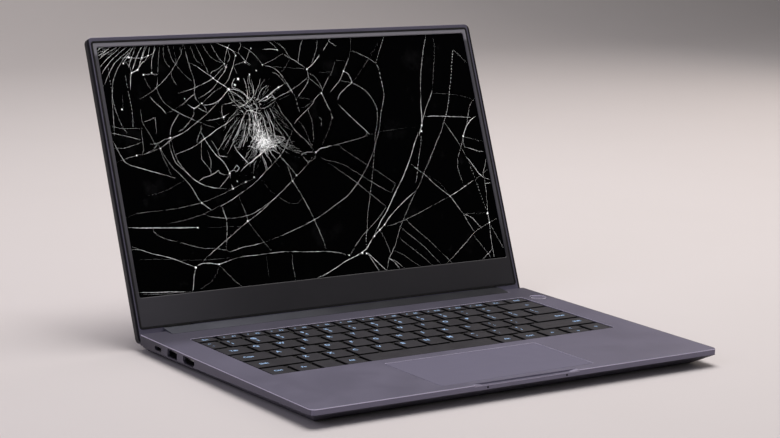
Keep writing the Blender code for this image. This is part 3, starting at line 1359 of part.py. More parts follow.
def make_hinge_cover(finishes, frame):
    """Round bar between the ears with a flat top, bored at each end for the hinge."""
    flat_front = math.pi - math.asin(HINGE_BELOW_DECK / BAR_RADIUS)
    start = flat_front - (math.pi - LID_OPEN)
    seat = LID_FACE + SEAT
    tail = -LID_TAIL - SEAT
    end = math.pi + math.acos(-tail / BAR_RADIUS)
    outline = arc((0, 0), BAR_RADIUS, start, end, 22)
    outline += [(tail, seat), (CHIN_FROM_AXIS - BAR_TOP_GAP, seat)]
    item = add("hinge_cover", slab([outline], -BAR_HALF, BAR_HALF, "YZ"), finishes["hinge_cover"], frame)
    room = KNUCKLE_RADIUS + 0.4 * MM
    near = BAR_HALF - KNUCKLE_INSET - KNUCKLE_LENGTH - SEAT
    cut(item, rods(*[(room, (side * near, 0, 0), (side * (BAR_HALF + MM), 0, 0)) for side in (-1, 1)]))
    far = BAR_HALF - KNUCKLE_INSET + SEAT
    cut(item, boxes(*[
        ((min(side * near, side * far), -LID_TAIL + 0.9 * MM, seat - MM),
         (max(side * near, side * far), KNUCKLE_RADIUS - 0.1 * MM, 0)) for side in (-1, 1)]))
    smooth(item)


def make_hinges(finishes, frame):
    """On each side a bracket in the ear, a turned pin and a knuckle with its leaf in the lid."""
    for side, word in ((-1, "left"), (1, "right")):
        near = NOTCH_HALF + EAR_WALL + SEAT
        far = near + EAR_BARREL_LENGTH
        bracket = add("hinge_%s_base_bracket" % word, rods(
            (EAR_BARREL_RADIUS, (side * near, AXIS_Y, AXIS_Z), (side * far, AXIS_Y, AXIS_Z)), steps=28),
            finishes["steel"])
        top = DECK - DECK_THICKNESS - SEAT
        ends = sorted((side * near, side * (near + BRACKET_WIDTH)))
        arm_low = (ends[0], AXIS_Y - BRACKET_FROM_AXIS, top - BRACKET_THICKNESS)
        cut(bracket, boxes((arm_low, (ends[1], AXIS_Y, top))), "UNION")
        bore_far = far + EAR_BARREL_LENGTH
        cut(bracket, rods((
            PIN_RADIUS + SEAT, (side * (near - MM), AXIS_Y, AXIS_Z),
            (side * bore_far, AXIS_Y, AXIS_Z)), steps=24))
        cut(bracket, rods((
            PIN_HEAD_RADIUS + SEAT, (side * far, AXIS_Y, AXIS_Z),
            (side * (far + PIN_HEAD + 2 * SEAT), AXIS_Y, AXIS_Z)), steps=24))
        smooth(bracket)

        inner_end = BAR_HALF - KNUCKLE_INSET - KNUCKLE_LENGTH
        outer_end = far + SEAT + PIN_HEAD
        profile = [
            (PIN_HEAD_RADIUS, outer_end), (PIN_HEAD_RADIUS, far + SEAT), (PIN_RADIUS, far + SEAT),
            (PIN_RADIUS, inner_end + 1.2 * MM), (PIN_RADIUS - 0.6 * MM, inner_end)]
        pin = add("hinge_%s_pin" % word, turned(profile, side), finishes["steel"], frame)
        smooth(pin)

        knuckle_far = BAR_HALF - KNUCKLE_INSET
        leaf = add("hinge_%s_lid_bracket" % word, rods(
            (KNUCKLE_RADIUS, (side * inner_end, 0, 0), (side * knuckle_far, 0, 0)), steps=28),
            finishes["steel"], frame)
        front = LID_FACE - leaf_depth()
        ends = sorted((side * inner_end, side * knuckle_far))
        bottom = -LID_TAIL + 0.9 * MM + SEAT
        shoulder = KNUCKLE_RADIUS - 0.4 * MM
        back = front - LEAF_THICKNESS
        outline = [
            (bottom, -0.2 * MM), (shoulder, -0.2 * MM), (shoulder, front),
            (CHIN_FROM_AXIS + LEAF_REACH, front), (CHIN_FROM_AXIS + LEAF_REACH, back), (bottom, back)]
        cut(leaf, slab([outline], ends[0] + 0.2 * MM, ends[1] - 0.2 * MM, "YZ"), "UNION")
        cut(leaf, rods((
            PIN_RADIUS + SEAT, (side * (inner_end - MM), 0, 0),
            (side * (knuckle_far + MM), 0, 0)), steps=24))
        smooth(leaf)


def turned(profile, side):
    """Turn a profile of (radius, distance along X) about the X axis."""
    mesh = bpy.data.meshes.new("profile")
    points = [(0, 0, profile[0][1])] + [(r, 0, z) for r, z in profile] + [(0, 0, profile[-1][1])]
    edges = [(i, i + 1) for i in range(len(points) - 1)]
    mesh.from_pydata(points, edges, [])
    holder = bpy.data.objects.new("profile", mesh)
    bpy.context.scene.collection.objects.link(holder)
    screw = holder.modifiers.new("turn", "SCREW")
    screw.axis = "Z"
    screw.steps = 24
    screw.render_steps = 24
    screw.use_merge_vertices = True
    screw.merge_threshold = 0.00001
    shape = holder.evaluated_get(bpy.context.evaluated_depsgraph_get())
    result = bpy.data.meshes.new_from_object(shape)
    bpy.data.objects.remove(holder)
    bpy.data.meshes.remove(mesh)
    form = bmesh.new()
    form.from_mesh(result)
    turn = Matrix.Rotation(side * math.pi / 2, 4, "Y")
    bmesh.ops.transform(form, matrix=turn, verts=form.verts)
    bmesh.ops.recalc_face_normals(form, faces=form.faces)
    form.to_mesh(result)
    form.free()
    return result


def main():
    start_scene()
    finishes = {
        "aluminium": finish("anodised_aluminium", "6E6C78", 0.42, 0.8),
        "key": finish("key_plastic", "2B2A2D", 0.55),
        "bezel": finish("bezel_plastic", "37363A", 0.5),
        "glass": finish("cracked_glass", "0B0B0D", 0.12),
        "panel": finish("panel_frame", "8A8C90", 0.4, 0.6),
        "hinge_cover": finish("hinge_cover_plastic", "62606A", 0.45, 0.3),
        "rubber": finish("rubber", "1C1B1D", 0.8),
        "steel": finish("steel", "8F9093", 0.35, 1.0),
        "board": finish("circuit_board", "14301F", 0.5),
        "black_plastic": finish("black_plastic", "17171A", 0.6),
        "copper": finish("copper", "B56A45", 0.35, 1.0),
    }
    make_top_case(finishes)
    make_bottom_cover(finishes)
    make_underside(finishes)
    make_keyboard(finishes)
    make_touch_parts(finishes)
    make_ports(finishes)
    make_boards(finishes)
    make_battery(finishes)
    make_speakers(finishes)
    make_fan(finishes)
    make_heat_pipe(finishes)
    frame = lid_frame()
    make_lid_shell(finishes, frame)
    make_display(finishes, frame)
    make_hinge_cover(finishes, frame)
    make_hinges(finishes, frame)


main()
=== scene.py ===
"""Looks of a thin 14-inch laptop whose display is shattered, lid open on a pale table.

Lengths are written in millimetres and turned to metres by MM. Places on the display are
measured from the middle of its lower edge, x to the right and y up the panel.
"""

import json
import math

import bmesh
import bpy
import numpy as np
from bpy.props import FloatProperty, FloatVectorProperty, IntProperty, PointerProperty
from mathutils import Matrix, Vector

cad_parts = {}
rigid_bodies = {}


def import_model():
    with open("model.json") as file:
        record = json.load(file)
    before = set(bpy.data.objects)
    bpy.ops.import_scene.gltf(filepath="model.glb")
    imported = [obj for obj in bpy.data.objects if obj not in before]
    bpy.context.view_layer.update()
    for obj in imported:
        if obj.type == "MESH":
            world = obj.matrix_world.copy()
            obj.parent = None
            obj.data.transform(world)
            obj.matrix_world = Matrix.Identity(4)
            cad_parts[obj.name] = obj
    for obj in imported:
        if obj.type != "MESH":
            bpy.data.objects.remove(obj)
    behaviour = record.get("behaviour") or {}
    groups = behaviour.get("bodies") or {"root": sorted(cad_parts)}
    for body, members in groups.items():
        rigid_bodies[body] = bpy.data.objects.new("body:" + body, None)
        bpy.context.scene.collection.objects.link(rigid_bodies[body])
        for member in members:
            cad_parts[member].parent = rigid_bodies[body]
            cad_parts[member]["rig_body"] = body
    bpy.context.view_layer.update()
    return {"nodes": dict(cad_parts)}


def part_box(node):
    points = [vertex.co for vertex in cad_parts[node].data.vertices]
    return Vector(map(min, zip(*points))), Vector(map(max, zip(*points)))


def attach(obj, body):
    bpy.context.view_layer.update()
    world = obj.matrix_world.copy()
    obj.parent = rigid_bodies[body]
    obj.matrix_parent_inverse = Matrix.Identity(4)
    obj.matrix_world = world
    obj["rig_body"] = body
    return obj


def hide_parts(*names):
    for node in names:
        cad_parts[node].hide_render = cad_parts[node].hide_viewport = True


bl_info = {
    "name": "Broken Laptop Looks",
    "version": (1, 0, 0),
    "blender": (4, 5, 0),
    "location": "3D View > Sidebar > Laptop",
    "description": "Finishes, key caps and the cracked panel of a thin laptop",
    "category": "Object",
}

MM = 0.001

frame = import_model()
NODES = frame["nodes"]


def place_of(node):
    """Lowest and highest corner of a CAD node in millimetres."""
    low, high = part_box(node)
    return np.array(low) / MM, np.array(high) / MM


# The base: deck level, half width, front edge and the underside that the screws sit in
CASE_LOW, CASE_HIGH = place_of("top_case")
DECK = CASE_HIGH[2]
HALF = CASE_HIGH[0]
FRONT = CASE_LOW[1]
UNDERSIDE = place_of("bottom_cover")[0][2]

# Its finish: cut lips round the deck and the finger notch, both with a painted highlight, and painted
# shade in the microphone holes of the front edge
BLASTED_METALLIC = 0.62
LIP_DEPTH = 0.5
LIP_ROUND = 0.22
NOTCH_DEPTH = 0.9
NOTCH_HALF = 41.7
NOTCH_REACH = 3.4
MIC_FROM_MIDDLE = 31.5
MIC_BELOW_DECK = 2.3
MIC_SHADE_RADIUS = 0.7

# The lid: hinge axis, lean behind upright, face plane and the panel behind it
PIN_LOW, PIN_HIGH = place_of("hinge_left_pin")
AXIS_Y = (PIN_LOW[1] + PIN_HIGH[1]) / 2
AXIS_Z = (PIN_LOW[2] + PIN_HIGH[2]) / 2
LEAN = math.radians(22.06)
PANEL_LEVEL = -5.12
PANEL_THICKNESS = 0.9
PANEL_BOTTOM = 28.54
PANEL_SIZE = (309.4, 174.0)
PANEL_MARGIN = 1.6
PANEL_LEDGE = 2.5

# The keyboard: well, caps and the widths of the keys that differ from the pitch
WELL_CENTRE = 0.3
WELL_SIZE = (277.6, 104.6)
WELL_FROM_FRONT = 80.1
CAP_DROP = 0.3
CAP_THICKNESS = 1.0
CAP_CORNER = 0.9
PITCH = (19.15, 18.75)
KEY_GAP = (3.15, 3.0)
KEYS_SPAN = 275.2
KEYS_FROM_FRONT = 81.5
FUNCTION_DEPTH = 8.3
ARROW_GAP = 0.7
GRAVE_UNIT = 14.35
TAB_UNIT = 24.0
CAPS_UNIT = 29.3
LEFT_SHIFT_UNIT = 38.6
LEFT_CTRL_UNIT = 20.0
LEFT_SMALL_UNIT = 18.2
RIGHT_ALT_UNIT = 19.0
RIGHT_CTRL_UNIT = 20.5
STEM_HALF = 2.0
STEM_REACH = 1.9
PLATE_BELOW_CAP = 1.25

# The print: half depth of a short cap, and how far words stand from a cap's side
SHORT_CAP = 4.5
LEGEND_INSET = 4.4
WORD_INSET = 9.5
TYPE_TO_LETTER = 1.37

# The camera's place in metres
CAMERA_PLACE = (-0.8426, -1.1930, 0.3603)


def linear(code):
    """Linear colour of an sRGB hex value, with alpha 1."""
    channels = [int(code[i:i + 2], 16) / 255 for i in (0, 2, 4)]
    return tuple(c / 12.92 if c < 0.04045 else ((c + 0.055) / 1.055) ** 2.4 for c in channels) + (1.0,)


def colour_property(title, text, code):
    """A colour setting with its default from an sRGB hex value."""
    return FloatVectorProperty(
        name=title, description=text, subtype="COLOR", size=4, min=0, max=1, default=linear(code))


class LaptopFinish(bpy.types.PropertyGroup):
    """Colours of the visible finishes."""

    aluminium: colour_property("Aluminium", "Dyed and blasted housing", "7D7A8E")
    # The pale tint of the painted highlight on the deck's cut edges
    edge_highlight: colour_property("Cut edge", "Bright chamfer round the deck", "D3CDE6")
    key: colour_property("Key caps", "Painted key caps", "37363B")
    legend: colour_property("Legends", "Print on the key caps", "A4C8F2")
    bezel: colour_property("Bezel", "Plastic frame round the panel", "353438")
    bar: colour_property("Hinge bar", "Cover between the hinges", "43444D")
    crack: colour_property("Cracks", "Crushed glass along the cracks", "FFFFFF")
    panel: colour_property("Panel", "Dead display", "020203")


class LaptopSizes(bpy.types.PropertyGroup):
    """Sizes of the details that the looks add."""

    cap_round: FloatProperty(
        name="Cap edge", description="Rounding of a key cap's upper edge",
        default=0.25 * MM, unit="LENGTH")
    cap_dish: FloatProperty(
        name="Cap dish", description="Hollow in the middle of a key cap",
        default=0.10 * MM, unit="LENGTH")
    legend_height: FloatProperty(
        name="Legend", description="Height of a printed letter", default=3.7 * MM, unit="LENGTH")
    crack_width: FloatProperty(
        name="Crack", description="Width of a strong crack", default=0.15 * MM, unit="LENGTH")
    streaks: IntProperty(
        name="Streaks", description="Fine cracks round the impact", default=40, min=0)
    crack_seed: IntProperty(name="Seed", description="Draw of the fine cracks", default=7)


class LaptopStage(bpy.types.PropertyGroup):
    """Table, lamps and camera."""

    floor: colour_property("Floor", "Plain pale table and backdrop", "E2DDDD")
    lens: FloatProperty(
        name="Lens", description="Focal length on a 36 mm sensor", default=101.6, unit="CAMERA")
    azimuth: FloatProperty(
        name="Azimuth", description="Camera's turn round the laptop",
        default=math.radians(-35.03), unit="ROTATION")
    elevation: FloatProperty(
        name="Elevation", description="Camera above the horizon",
        default=math.radians(10.578), unit="ROTATION")
    roll: FloatProperty(
        name="Roll", description="Camera's tilt to one side",
        default=math.radians(1.842), unit="ROTATION")
    key_light: FloatProperty(
        name="Key light", description="Power of the soft lamp above", default=29.0, unit="POWER")
    warm_light: FloatProperty(
        name="Warm light", description="Power of the warm lamp on the right", default=4.5, unit="POWER")
    cool_light: FloatProperty(
        name="Cool light", description="Power of the cool lamp on the left", default=4.0, unit="POWER")
    daylight: FloatProperty(
        name="Daylight", description="Strength of the even light all round", default=0.11)


def per_metre(size):
    """Repeats of a pattern in a metre, from the size of one repeat in millimetres."""
    return 1 / (size * MM)


class Finish:
    """A material in the making: its node tree, its shader and its object coordinates."""

    def __init__(self, name, colour, roughness, metallic=0.0, **sockets):
        """Start from one even colour; the shader's other sockets are given by their names."""
        self.material = bpy.data.materials.new(name)
        self.material.use_nodes = True
        self.tree = self.material.node_tree
        self.shader = self.tree.nodes["Principled BSDF"]
        sockets.update(Base_Color=colour, Roughness=roughness, Metallic=metallic)
        for socket, value in sockets.items():
            self.shader.inputs[socket.replace("_", " ")].default_value = value
        self.place = self.add("TexCoord")["Object"]
        self.axes = self.add("SeparateXYZ", {"Vector": self.place})
        self.colour = colour

    def add(self, kind, inputs=(), **settings):
        """Add a node with its settings, give its inputs values or links, and return its outputs.

        The inputs come as a table by name or number, or as a row that starts at the first one.
        """
        node = self.tree.nodes.new("ShaderNode" + kind)
        for name, value in settings.items():
            setattr(node, name, value)
        pairs = inputs.items() if isinstance(inputs, dict) else enumerate(inputs)
        for socket, value in pairs:
            if isinstance(value, bpy.types.NodeSocket):
                self.tree.links.new(value, node.inputs[socket])
            else:
                node.inputs[socket].default_value = value
        return node.outputs

    def feed(self, socket, source):
        """Let a socket of the shader follow a pattern."""
        self.tree.links.new(source, self.shader.inputs[socket])

    def clouds(self, size, detail, stretch=(1, 1, 1)):
        """Cloudy pattern with patches of a size in millimetres, stretched along the axes."""
        mapped = self.add("Mapping", {"Vector": self.place, "Scale": stretch}, vector_type="POINT")
        form = {"Vector": mapped[0], "Scale": per_metre(size), "Detail": detail, "Roughness": 0.55}
        return self.add("TexNoise", form)[0]

    def wander(self, size, detail, low, high, start, end, stretch=(1, 1, 1)):
        """A share that goes smoothly from start to end where clouds pass from low to high."""
        limits = (self.clouds(size, detail, stretch), low, high, start, end)
        return self.add("MapRange", limits, interpolation_type="SMOOTHSTEP")[0]

    def along(self, letter, low, high, start=0.0, end=1.0):
        """A share that goes smoothly from start to end between two places on an axis, in mm."""
        limits = (self.axes[letter], low * MM, high * MM, start, end)
        return self.add("MapRange", limits, interpolation_type="SMOOTHSTEP")[0]

    def product(self, *values):
        """Several shares multiplied with one another."""
        result = values[0]
        for value in values[1:]:
            result = self.add("Math", (result, value), operation="MULTIPLY")[0]
        return result

    def between(self, letter, low, high):
        """1 between two places on an axis, in millimetres, and 0 elsewhere."""
        above = self.add("Math", (self.axes[letter], low * MM), operation="GREATER_THAN")[0]
        below = self.add("Math", (self.axes[letter], high * MM), operation="LESS_THAN")[0]
        return self.product(above, below)

    def outside(self, limit):
        """1 farther than a limit from the middle plane, in millimetres, and 0 elsewhere."""
        away = self.add("Math", (self.axes["X"],), operation="ABSOLUTE")[0]
        return self.add("Math", (away, limit * MM), operation="GREATER_THAN")[0]

    def tint(self, share, colour):
        """Lay a colour over the base colour where the share is high."""
        self.colour = self.add("Mix", {0: share, 6: self.colour, 7: colour}, data_type="RGBA")[2]
        self.feed("Base Color", self.colour)

    def patches(self, size, detail, low, high, share, code, stretch=(1, 1, 1)):
        """Lay patches of a colour over the base colour: where clouds pass from low to high."""
        self.tint(self.wander(size, detail, low, high, 0, share, stretch), linear(code))

    def dull(self, size, detail, low, high, stretch=(1, 1, 1)):
        """Let the roughness wander between two values in patches of a size in millimetres."""
        self.feed("Roughness", self.wander(size, detail, 0.3, 0.7, low, high, stretch))

    def relief(self, value, height, strength):
        """Raise the surface by a pattern; the height is in millimetres."""
        bump = self.add("Bump", {"Strength": strength, "Distance": height * MM, "Height": value})
        self.feed("Normal", bump[0])


def cut_lip(made):
    """1 where the deck gets a painted highlight: on its cut edges just under its level, and on the wall of
    the finger notch.
    """
    ledge = DECK - NOTCH_DEPTH
    notch = made.product(
        made.between("X", -NOTCH_HALF, NOTCH_HALF),
        made.between("Y", FRONT - 1, FRONT + NOTCH_REACH))
    wall = made.product(made.between("Z", ledge + 0.03, DECK - 0.02), 0.35)
    front = made.between("Z", ledge - 0.24, ledge - 0.02)
    cut = made.add("Math", (wall, front), operation="MAXIMUM")[0]
    beside = made.add("Math", (1.0, notch), operation="SUBTRACT")[0]
    plain = made.product(made.between("Z", DECK - LIP_DEPTH, DECK - 0.02), beside)
    return made.add("Math", (made.product(notch, cut), plain), operation="MAXIMUM")[0]


def blasted_aluminium(name, settings, edges):
    """Anodised aluminium, bead blasted and dyed violet grey: a soft grainy sheen, and a painted highlight
    on the cut edges.
    """
    made = Finish(name, settings.aluminium, 0.46, BLASTED_METALLIC)
    made.patches(90, 2, 0.35, 0.75, 0.2, "706D80")
    made.dull(30, 2, 0.44, 0.50)
    # Specks of dust
    made.patches(0.9, 1, 0.76, 0.80, 0.22, "B9B5B5")
    # Painted highlight: the cut edges and the wall of the finger notch are tinted pale
    if edges:
        made.lip = cut_lip(made)
        made.tint(made.product(made.lip, 0.9), settings.edge_highlight)
    # Blasting leaves pits near 0.1 mm; they are drawn at 0.35 mm so that they show
    made.relief(made.clouds(0.35, 1), 0.012, 0.5)
    return made


def deck_finish(settings):
    """The deck's aluminium, with painted shade near black on the floor of the key well."""
    made = blasted_aluminium("blasted_aluminium_deck", settings, True)
    plain = made.add("Math", (1.0, made.lip), operation="SUBTRACT")[0]
    # Painted shade and a painted dark reflection of the lid on the deck behind the keys, with some grime
    rear = made.along("Y", AXIS_Y - 42, AXIS_Y - 20, 0, 0.5)
    made.tint(made.product(rear, plain), linear("33323C"))
    # Painted shade darkens the side walls, which face away from the light
    made.tint(made.product(made.outside(HALF - 0.8), plain, 0.5), linear("2C2A30"))
    half = WELL_SIZE[0] / 2 + 0.6
    near = FRONT + WELL_FROM_FRONT - 0.6
    # Painted shade: the floor of the key well, under the keys, is tinted near black
    well_shade = made.product(
        made.between("X", WELL_CENTRE - half, WELL_CENTRE + half),
        made.between("Y", near, near + WELL_SIZE[1] + 1.2),
        made.between("Z", 0, DECK - 1.2))
    made.tint(well_shade, linear("0B0B0C"))
    # Painted shade: black discs in the two microphone holes
    away = made.add("Math", (made.axes["X"],), operation="ABSOLUTE")[0]
    across = made.add("Math", (away, MIC_FROM_MIDDLE * MM), operation="SUBTRACT")[0]
    down = made.add("Math", (made.axes["Z"], (DECK - MIC_BELOW_DECK) * MM), operation="SUBTRACT")[0]
    squares = (made.product(across, across), made.product(down, down))
    reach = made.add("Math", (made.add("Math", squares, operation="ADD")[0],), operation="SQRT")[0]
    hole = made.add("Math", (reach, MIC_SHADE_RADIUS * MM), operation="LESS_THAN")[0]
    made.tint(made.product(hole, made.between("Y", FRONT - 1, FRONT + 2)), linear("050505"))
    # Less metallic in the painted shade of the key well and on the painted highlight of the cut edges
    bare = (BLASTED_METALLIC, made.product(well_shade, BLASTED_METALLIC))
    bare = made.add("Math", bare, operation="SUBTRACT")[0]
    bare = made.add("Math", (bare, made.product(made.lip, 0.4)), operation="SUBTRACT")[0]
    made.feed("Metallic", bare)
    return made.material


def touchpad_finish():
    """Etched glass over violet grey paint: smoother than the deck, with the gloss of rubbing fingers."""
    made = Finish("etched_glass_touchpad", linear("6E6B81"), 0.6, 0.2)
    made.patches(45, 2, 0.4, 0.7, 0.2, "68657A")
    made.dull(25, 2, 0.58, 0.64)
    made.relief(made.clouds(0.3, 0), 0.004, 0.3)
    return made.material


def key_finish(settings):
    """Painted ABS key caps: matt and fine grained, worn glossier where fingers land."""
    made = Finish("painted_abs_keys", settings.key, 0.52, Specular_IOR_Level=0.22)
    made.patches(30, 2, 0.35, 0.75, 0.3, "2A282A")
    made.dull(9, 2, 0.46, 0.60)
    made.patches(0.8, 1, 0.75, 0.80, 0.18, "7C7978")
    # Painted shade: the sides of the caps below the top are near black
    top = DECK - CAP_DROP
    made.tint(made.along("Z", top - 0.32, top - 0.22, 1, 0), linear("070708"))
    # Spray paint grain near 0.15 mm, drawn at 0.3 mm
    made.relief(made.clouds(0.3, 1), 0.010, 0.4)
    return made.material


def legend_finish(settings):
    """Screen printed pale blue ink, a little patchy, with a faint painted glow."""
    made = Finish(
        "pale_blue_print", settings.legend, 0.6, Emission_Color=settings.legend, Emission_Strength=0.22)
    made.patches(1.5, 2, 0.45, 0.75, 0.3, "88A8CF")
    return made.material


def film_finish():
    """Black polyester sheet under the keys, dusty in its corners."""
    made = Finish("black_film", linear("0A0A0B"), 0.6)
    made.patches(2.5, 3, 0.62, 0.72, 0.35, "3A3836")
    return made.material


def bezel_finish(settings):
    """Moulded ABS with a fine spark-eroded grain, a little paler on its narrow sides and top."""
    made = Finish("grained_abs_bezel", settings.bezel, 0.5, Specular_IOR_Level=0.45)
    above_chin = made.along("Z", 36, 70)
    made.tint(made.product(above_chin, 0.8), linear("626168"))
    made.tint(made.along("Z", 188, 191, 0, 0.7), linear("A8A7B0"))
    # The chin is paler towards its left end
    chin = made.add("Math", (1.0, above_chin), operation="SUBTRACT")[0]
    made.tint(made.product(made.along("X", -155, -50, 0.5, 0), chin), linear("5A5960"))
    made.dull(18, 3, 0.46, 0.56)
    made.patches(0.7, 1, 0.76, 0.80, 0.25, "87858A")
    made.relief(made.clouds(0.4, 2), 0.015, 0.5)
    return made.material


def bar_finish(settings):
    """Painted plastic of the hinge bar: satin, paler along its upper side, with painted shade darkening it
    to the right.
    """
    made = Finish("satin_painted_bar", settings.bar, 0.38, 0.35)
    made.tint(made.along("Z", 11.0, 11.9, 0, 0.55), linear("666973"))
    # Painted shade: the bar grows darker towards the right
    made.tint(made.along("X", -110, 40, 0, 0.75), linear("141416"))
    made.dull(25, 2, 0.34, 0.44)
    made.relief(made.clouds(0.35, 1), 0.008, 0.4)
    return made.material


def rubber_finish(name, code):
    """Moulded silicone rubber: matt, with lint and grey bloom."""
    made = Finish(name, linear(code), 0.78)
    made.patches(4, 4, 0.55, 0.7, 0.35, "4A4848")
    made.relief(made.clouds(0.5, 2), 0.02, 0.5)
    return made.material


def steel_finish(name="drawn_steel", code="9A9A9C", rough=0.3):
    """Drawn and plated steel: long faint lines along the drawing."""
    made = Finish(name, linear(code), rough, 1.0)
    made.patches(1.2, 3, 0.4, 0.7, 0.4, "6D6C6E", (0.1, 1, 1))
    made.dull(2.0, 3, rough - 0.05, rough + 0.12, (0.1, 1, 1))
    return made.material


def contact_finish():
    """Gold flash over nickel on the contact strips."""
    made = Finish("gold_plated_contacts", linear("C8A45A"), 0.28, 1.0)
    made.dull(0.8, 2, 0.22, 0.4)
    return made.material


def board_finish():
    """Green solder mask over woven glass laminate, with the pale lines of copper under it."""
    made = Finish("solder_mask_board", linear("14301F"), 0.4, Coat_Weight=0.3, Coat_Roughness=0.25)
    made.patches(2.2, 6, 0.52, 0.56, 0.5, "2C5A38", (1, 0.15, 1))
    made.relief(made.clouds(0.6, 2, (1, 0.3, 1)), 0.02, 0.4)
    return made.material


def shell_plastic():
    """Black glass-filled polycarbonate of the inner boxes, with flow marks."""
    made = Finish("black_filled_plastic", linear("17171A"), 0.55)
    made.patches(12, 4, 0.5, 0.7, 0.4, "2A2A2D", (0.3, 1, 1))
    made.relief(made.clouds(0.5, 2), 0.02, 0.5)
    return made.material


def copper_finish():
    """Rolled copper gone brown in patches."""
    made = Finish("tarnished_copper", linear("B56A45"), 0.34, 1.0)
    made.patches(9, 4, 0.45, 0.7, 0.5, "7A4430")
    made.dull(5, 3, 0.28, 0.46)
    return made.material


def light_box_finish():
    """Pressed and plated steel of the panel's light box."""
    made = Finish("plated_panel_frame", linear("8A8C90"), 0.36, 0.8)
    made.patches(15, 3, 0.4, 0.7, 0.3, "6C6E72")
    return made.material


def panel_finish(settings):
    """Dead liquid crystal panel under broken glass: deep black with faint smoky stains."""
    made = Finish("dead_panel_glass", settings.panel, 0.26, Specular_IOR_Level=0.05)
    made.patches(38, 4, 0.58, 0.76, 0.7, "1C1C1D")
    made.patches(11, 3, 0.66, 0.80, 0.4, "1F1F20")
    return made.material


def crack_finish(settings):
    """Crushed glass in the cracks: white where it is dense, grey where a crack is hairline, with a painted
    glow that keeps the lines white.
    """
    made = Finish(
        "crushed_glass", settings.crack, 0.35, Specular_IOR_Level=0.5, Emission_Strength=1.0)
    dense = made.add("Attribute", attribute_name="whiteness")["Fac"]
    limits = (made.product(dense, made.wander(0.9, 2, 0.35, 0.65, 0.62, 1.0)), 0.0, 0.88, 0.14, 1.0)
    share = made.add("MapRange", limits, interpolation_type="SMOOTHSTEP")[0]
    colours = {0: share, 6: linear("101011"), 7: settings.crack}
    colour = made.add("Mix", colours, data_type="RGBA")[2]
    made.feed("Base Color", colour)
    made.feed("Emission Color", colour)
    return made.material


def mesh_object(name, points, faces, material, body, smooth=True):
    """A piece from its points in millimetres and its faces, riding on a body."""
    mesh = bpy.data.meshes.new(name)
    points = np.asarray(points, float).reshape(-1, 3) * MM
    mesh.from_pydata(points.tolist(), [], [list(face) for face in faces])
    mesh.update()
    mesh.materials.append(material)
    if smooth:
        mesh.shade_smooth()
        mesh.set_sharp_from_angle(angle=math.radians(40))
    piece = bpy.data.objects.new(name, mesh)
    bpy.context.scene.collection.objects.link(piece)
    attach(piece, body)
    return piece


def merge(piece, distance=0.0005):
    """Close seams and poles: points nearer than a distance in millimetres become one."""
    form = bmesh.new()
    form.from_mesh(piece.data)
    bmesh.ops.remove_doubles(form, verts=form.verts, dist=distance * MM)
    bmesh.ops.dissolve_degenerate(form, edges=form.edges, dist=distance * MM * 0.1)
    bmesh.ops.recalc_face_normals(form, faces=form.faces)
    form.to_mesh(piece.data)
    form.free()


def tube_faces(loops, rings, steps, open_ends=False):
    """Faces of many tubes whose points run loop by loop, ring by ring, step by step.

    Ring r is joined to ring r + 1 and step s to the next step round, for all loops at once;
    the end rings are closed with one face each.
    """
    index = np.arange(loops * rings * steps).reshape(loops, rings, steps)
    ahead = np.roll(index, -1, axis=2)
    quads = np.stack((index[:, :-1], ahead[:, :-1], ahead[:, 1:], index[:, 1:]), axis=-1)
    faces = quads.reshape(-1, 4).tolist()
    if not open_ends:
        faces += index[:, 0, ::-1].tolist()
        faces += index[:, -1, :].tolist()
    return faces


def joined(parts):
    """Several (points, faces) as one, in their order."""
    points = []
    faces = []
    count = 0
    for found, sides in parts:
        points.append(found)
        faces += [tuple(i + count for i in side) for side in sides]
        count += len(found)
    return np.vstack(points), faces


def tile_points(tiles, corner, profile, steps=4):
    """Points of flat tiles with round corners, all at once.

    Each tile is (middle x, middle y, half width, half depth). The profile is a list of
    (inset, level, scale): a ring is the tile's outline drawn in by the inset, at the level,
    and shrunk to the middle by the scale, so that a scale of 0 closes the tile in a point.
    """
    middle_x, middle_y, half_x, half_y = np.asarray(tiles, float).T[:, :, None, None]
    inset, level, scale = np.asarray(profile, float).T[:, None, :, None]
    quarter = np.linspace(0, math.pi / 2, steps + 1)
    turn = (quarter[None, :] + np.arange(4)[:, None] * math.pi / 2).ravel()
    side_x = np.repeat([1, -1, -1, 1], steps + 1)
    side_y = np.repeat([1, 1, -1, -1], steps + 1)
    radius = np.maximum(corner - inset, 0.02)
    x = middle_x + scale * ((half_x - inset - radius) * side_x + radius * np.cos(turn))
    y = middle_y + scale * ((half_y - inset - radius) * side_y + radius * np.sin(turn))
    return np.stack((x, y, np.broadcast_to(level, x.shape)), axis=-1)


def cap_profile(top, thickness, rounding, dish, foot=0.0):
    """Rings of a key cap from the middle of its underside to the middle of its dished top."""
    bend = np.linspace(0, math.pi / 2, 4)
    rings = [(0, top - thickness, 0), (0, top - thickness, 1)]
    rings += [(foot + rounding * (1 - math.cos(a)), top - rounding * (1 - math.sin(a)), 1) for a in bend]
    inner = foot + rounding
    rings += [(inner, top - dish * (1 - s * s), s) for s in (0.85, 0.6, 0.3, 0)]
    return rings


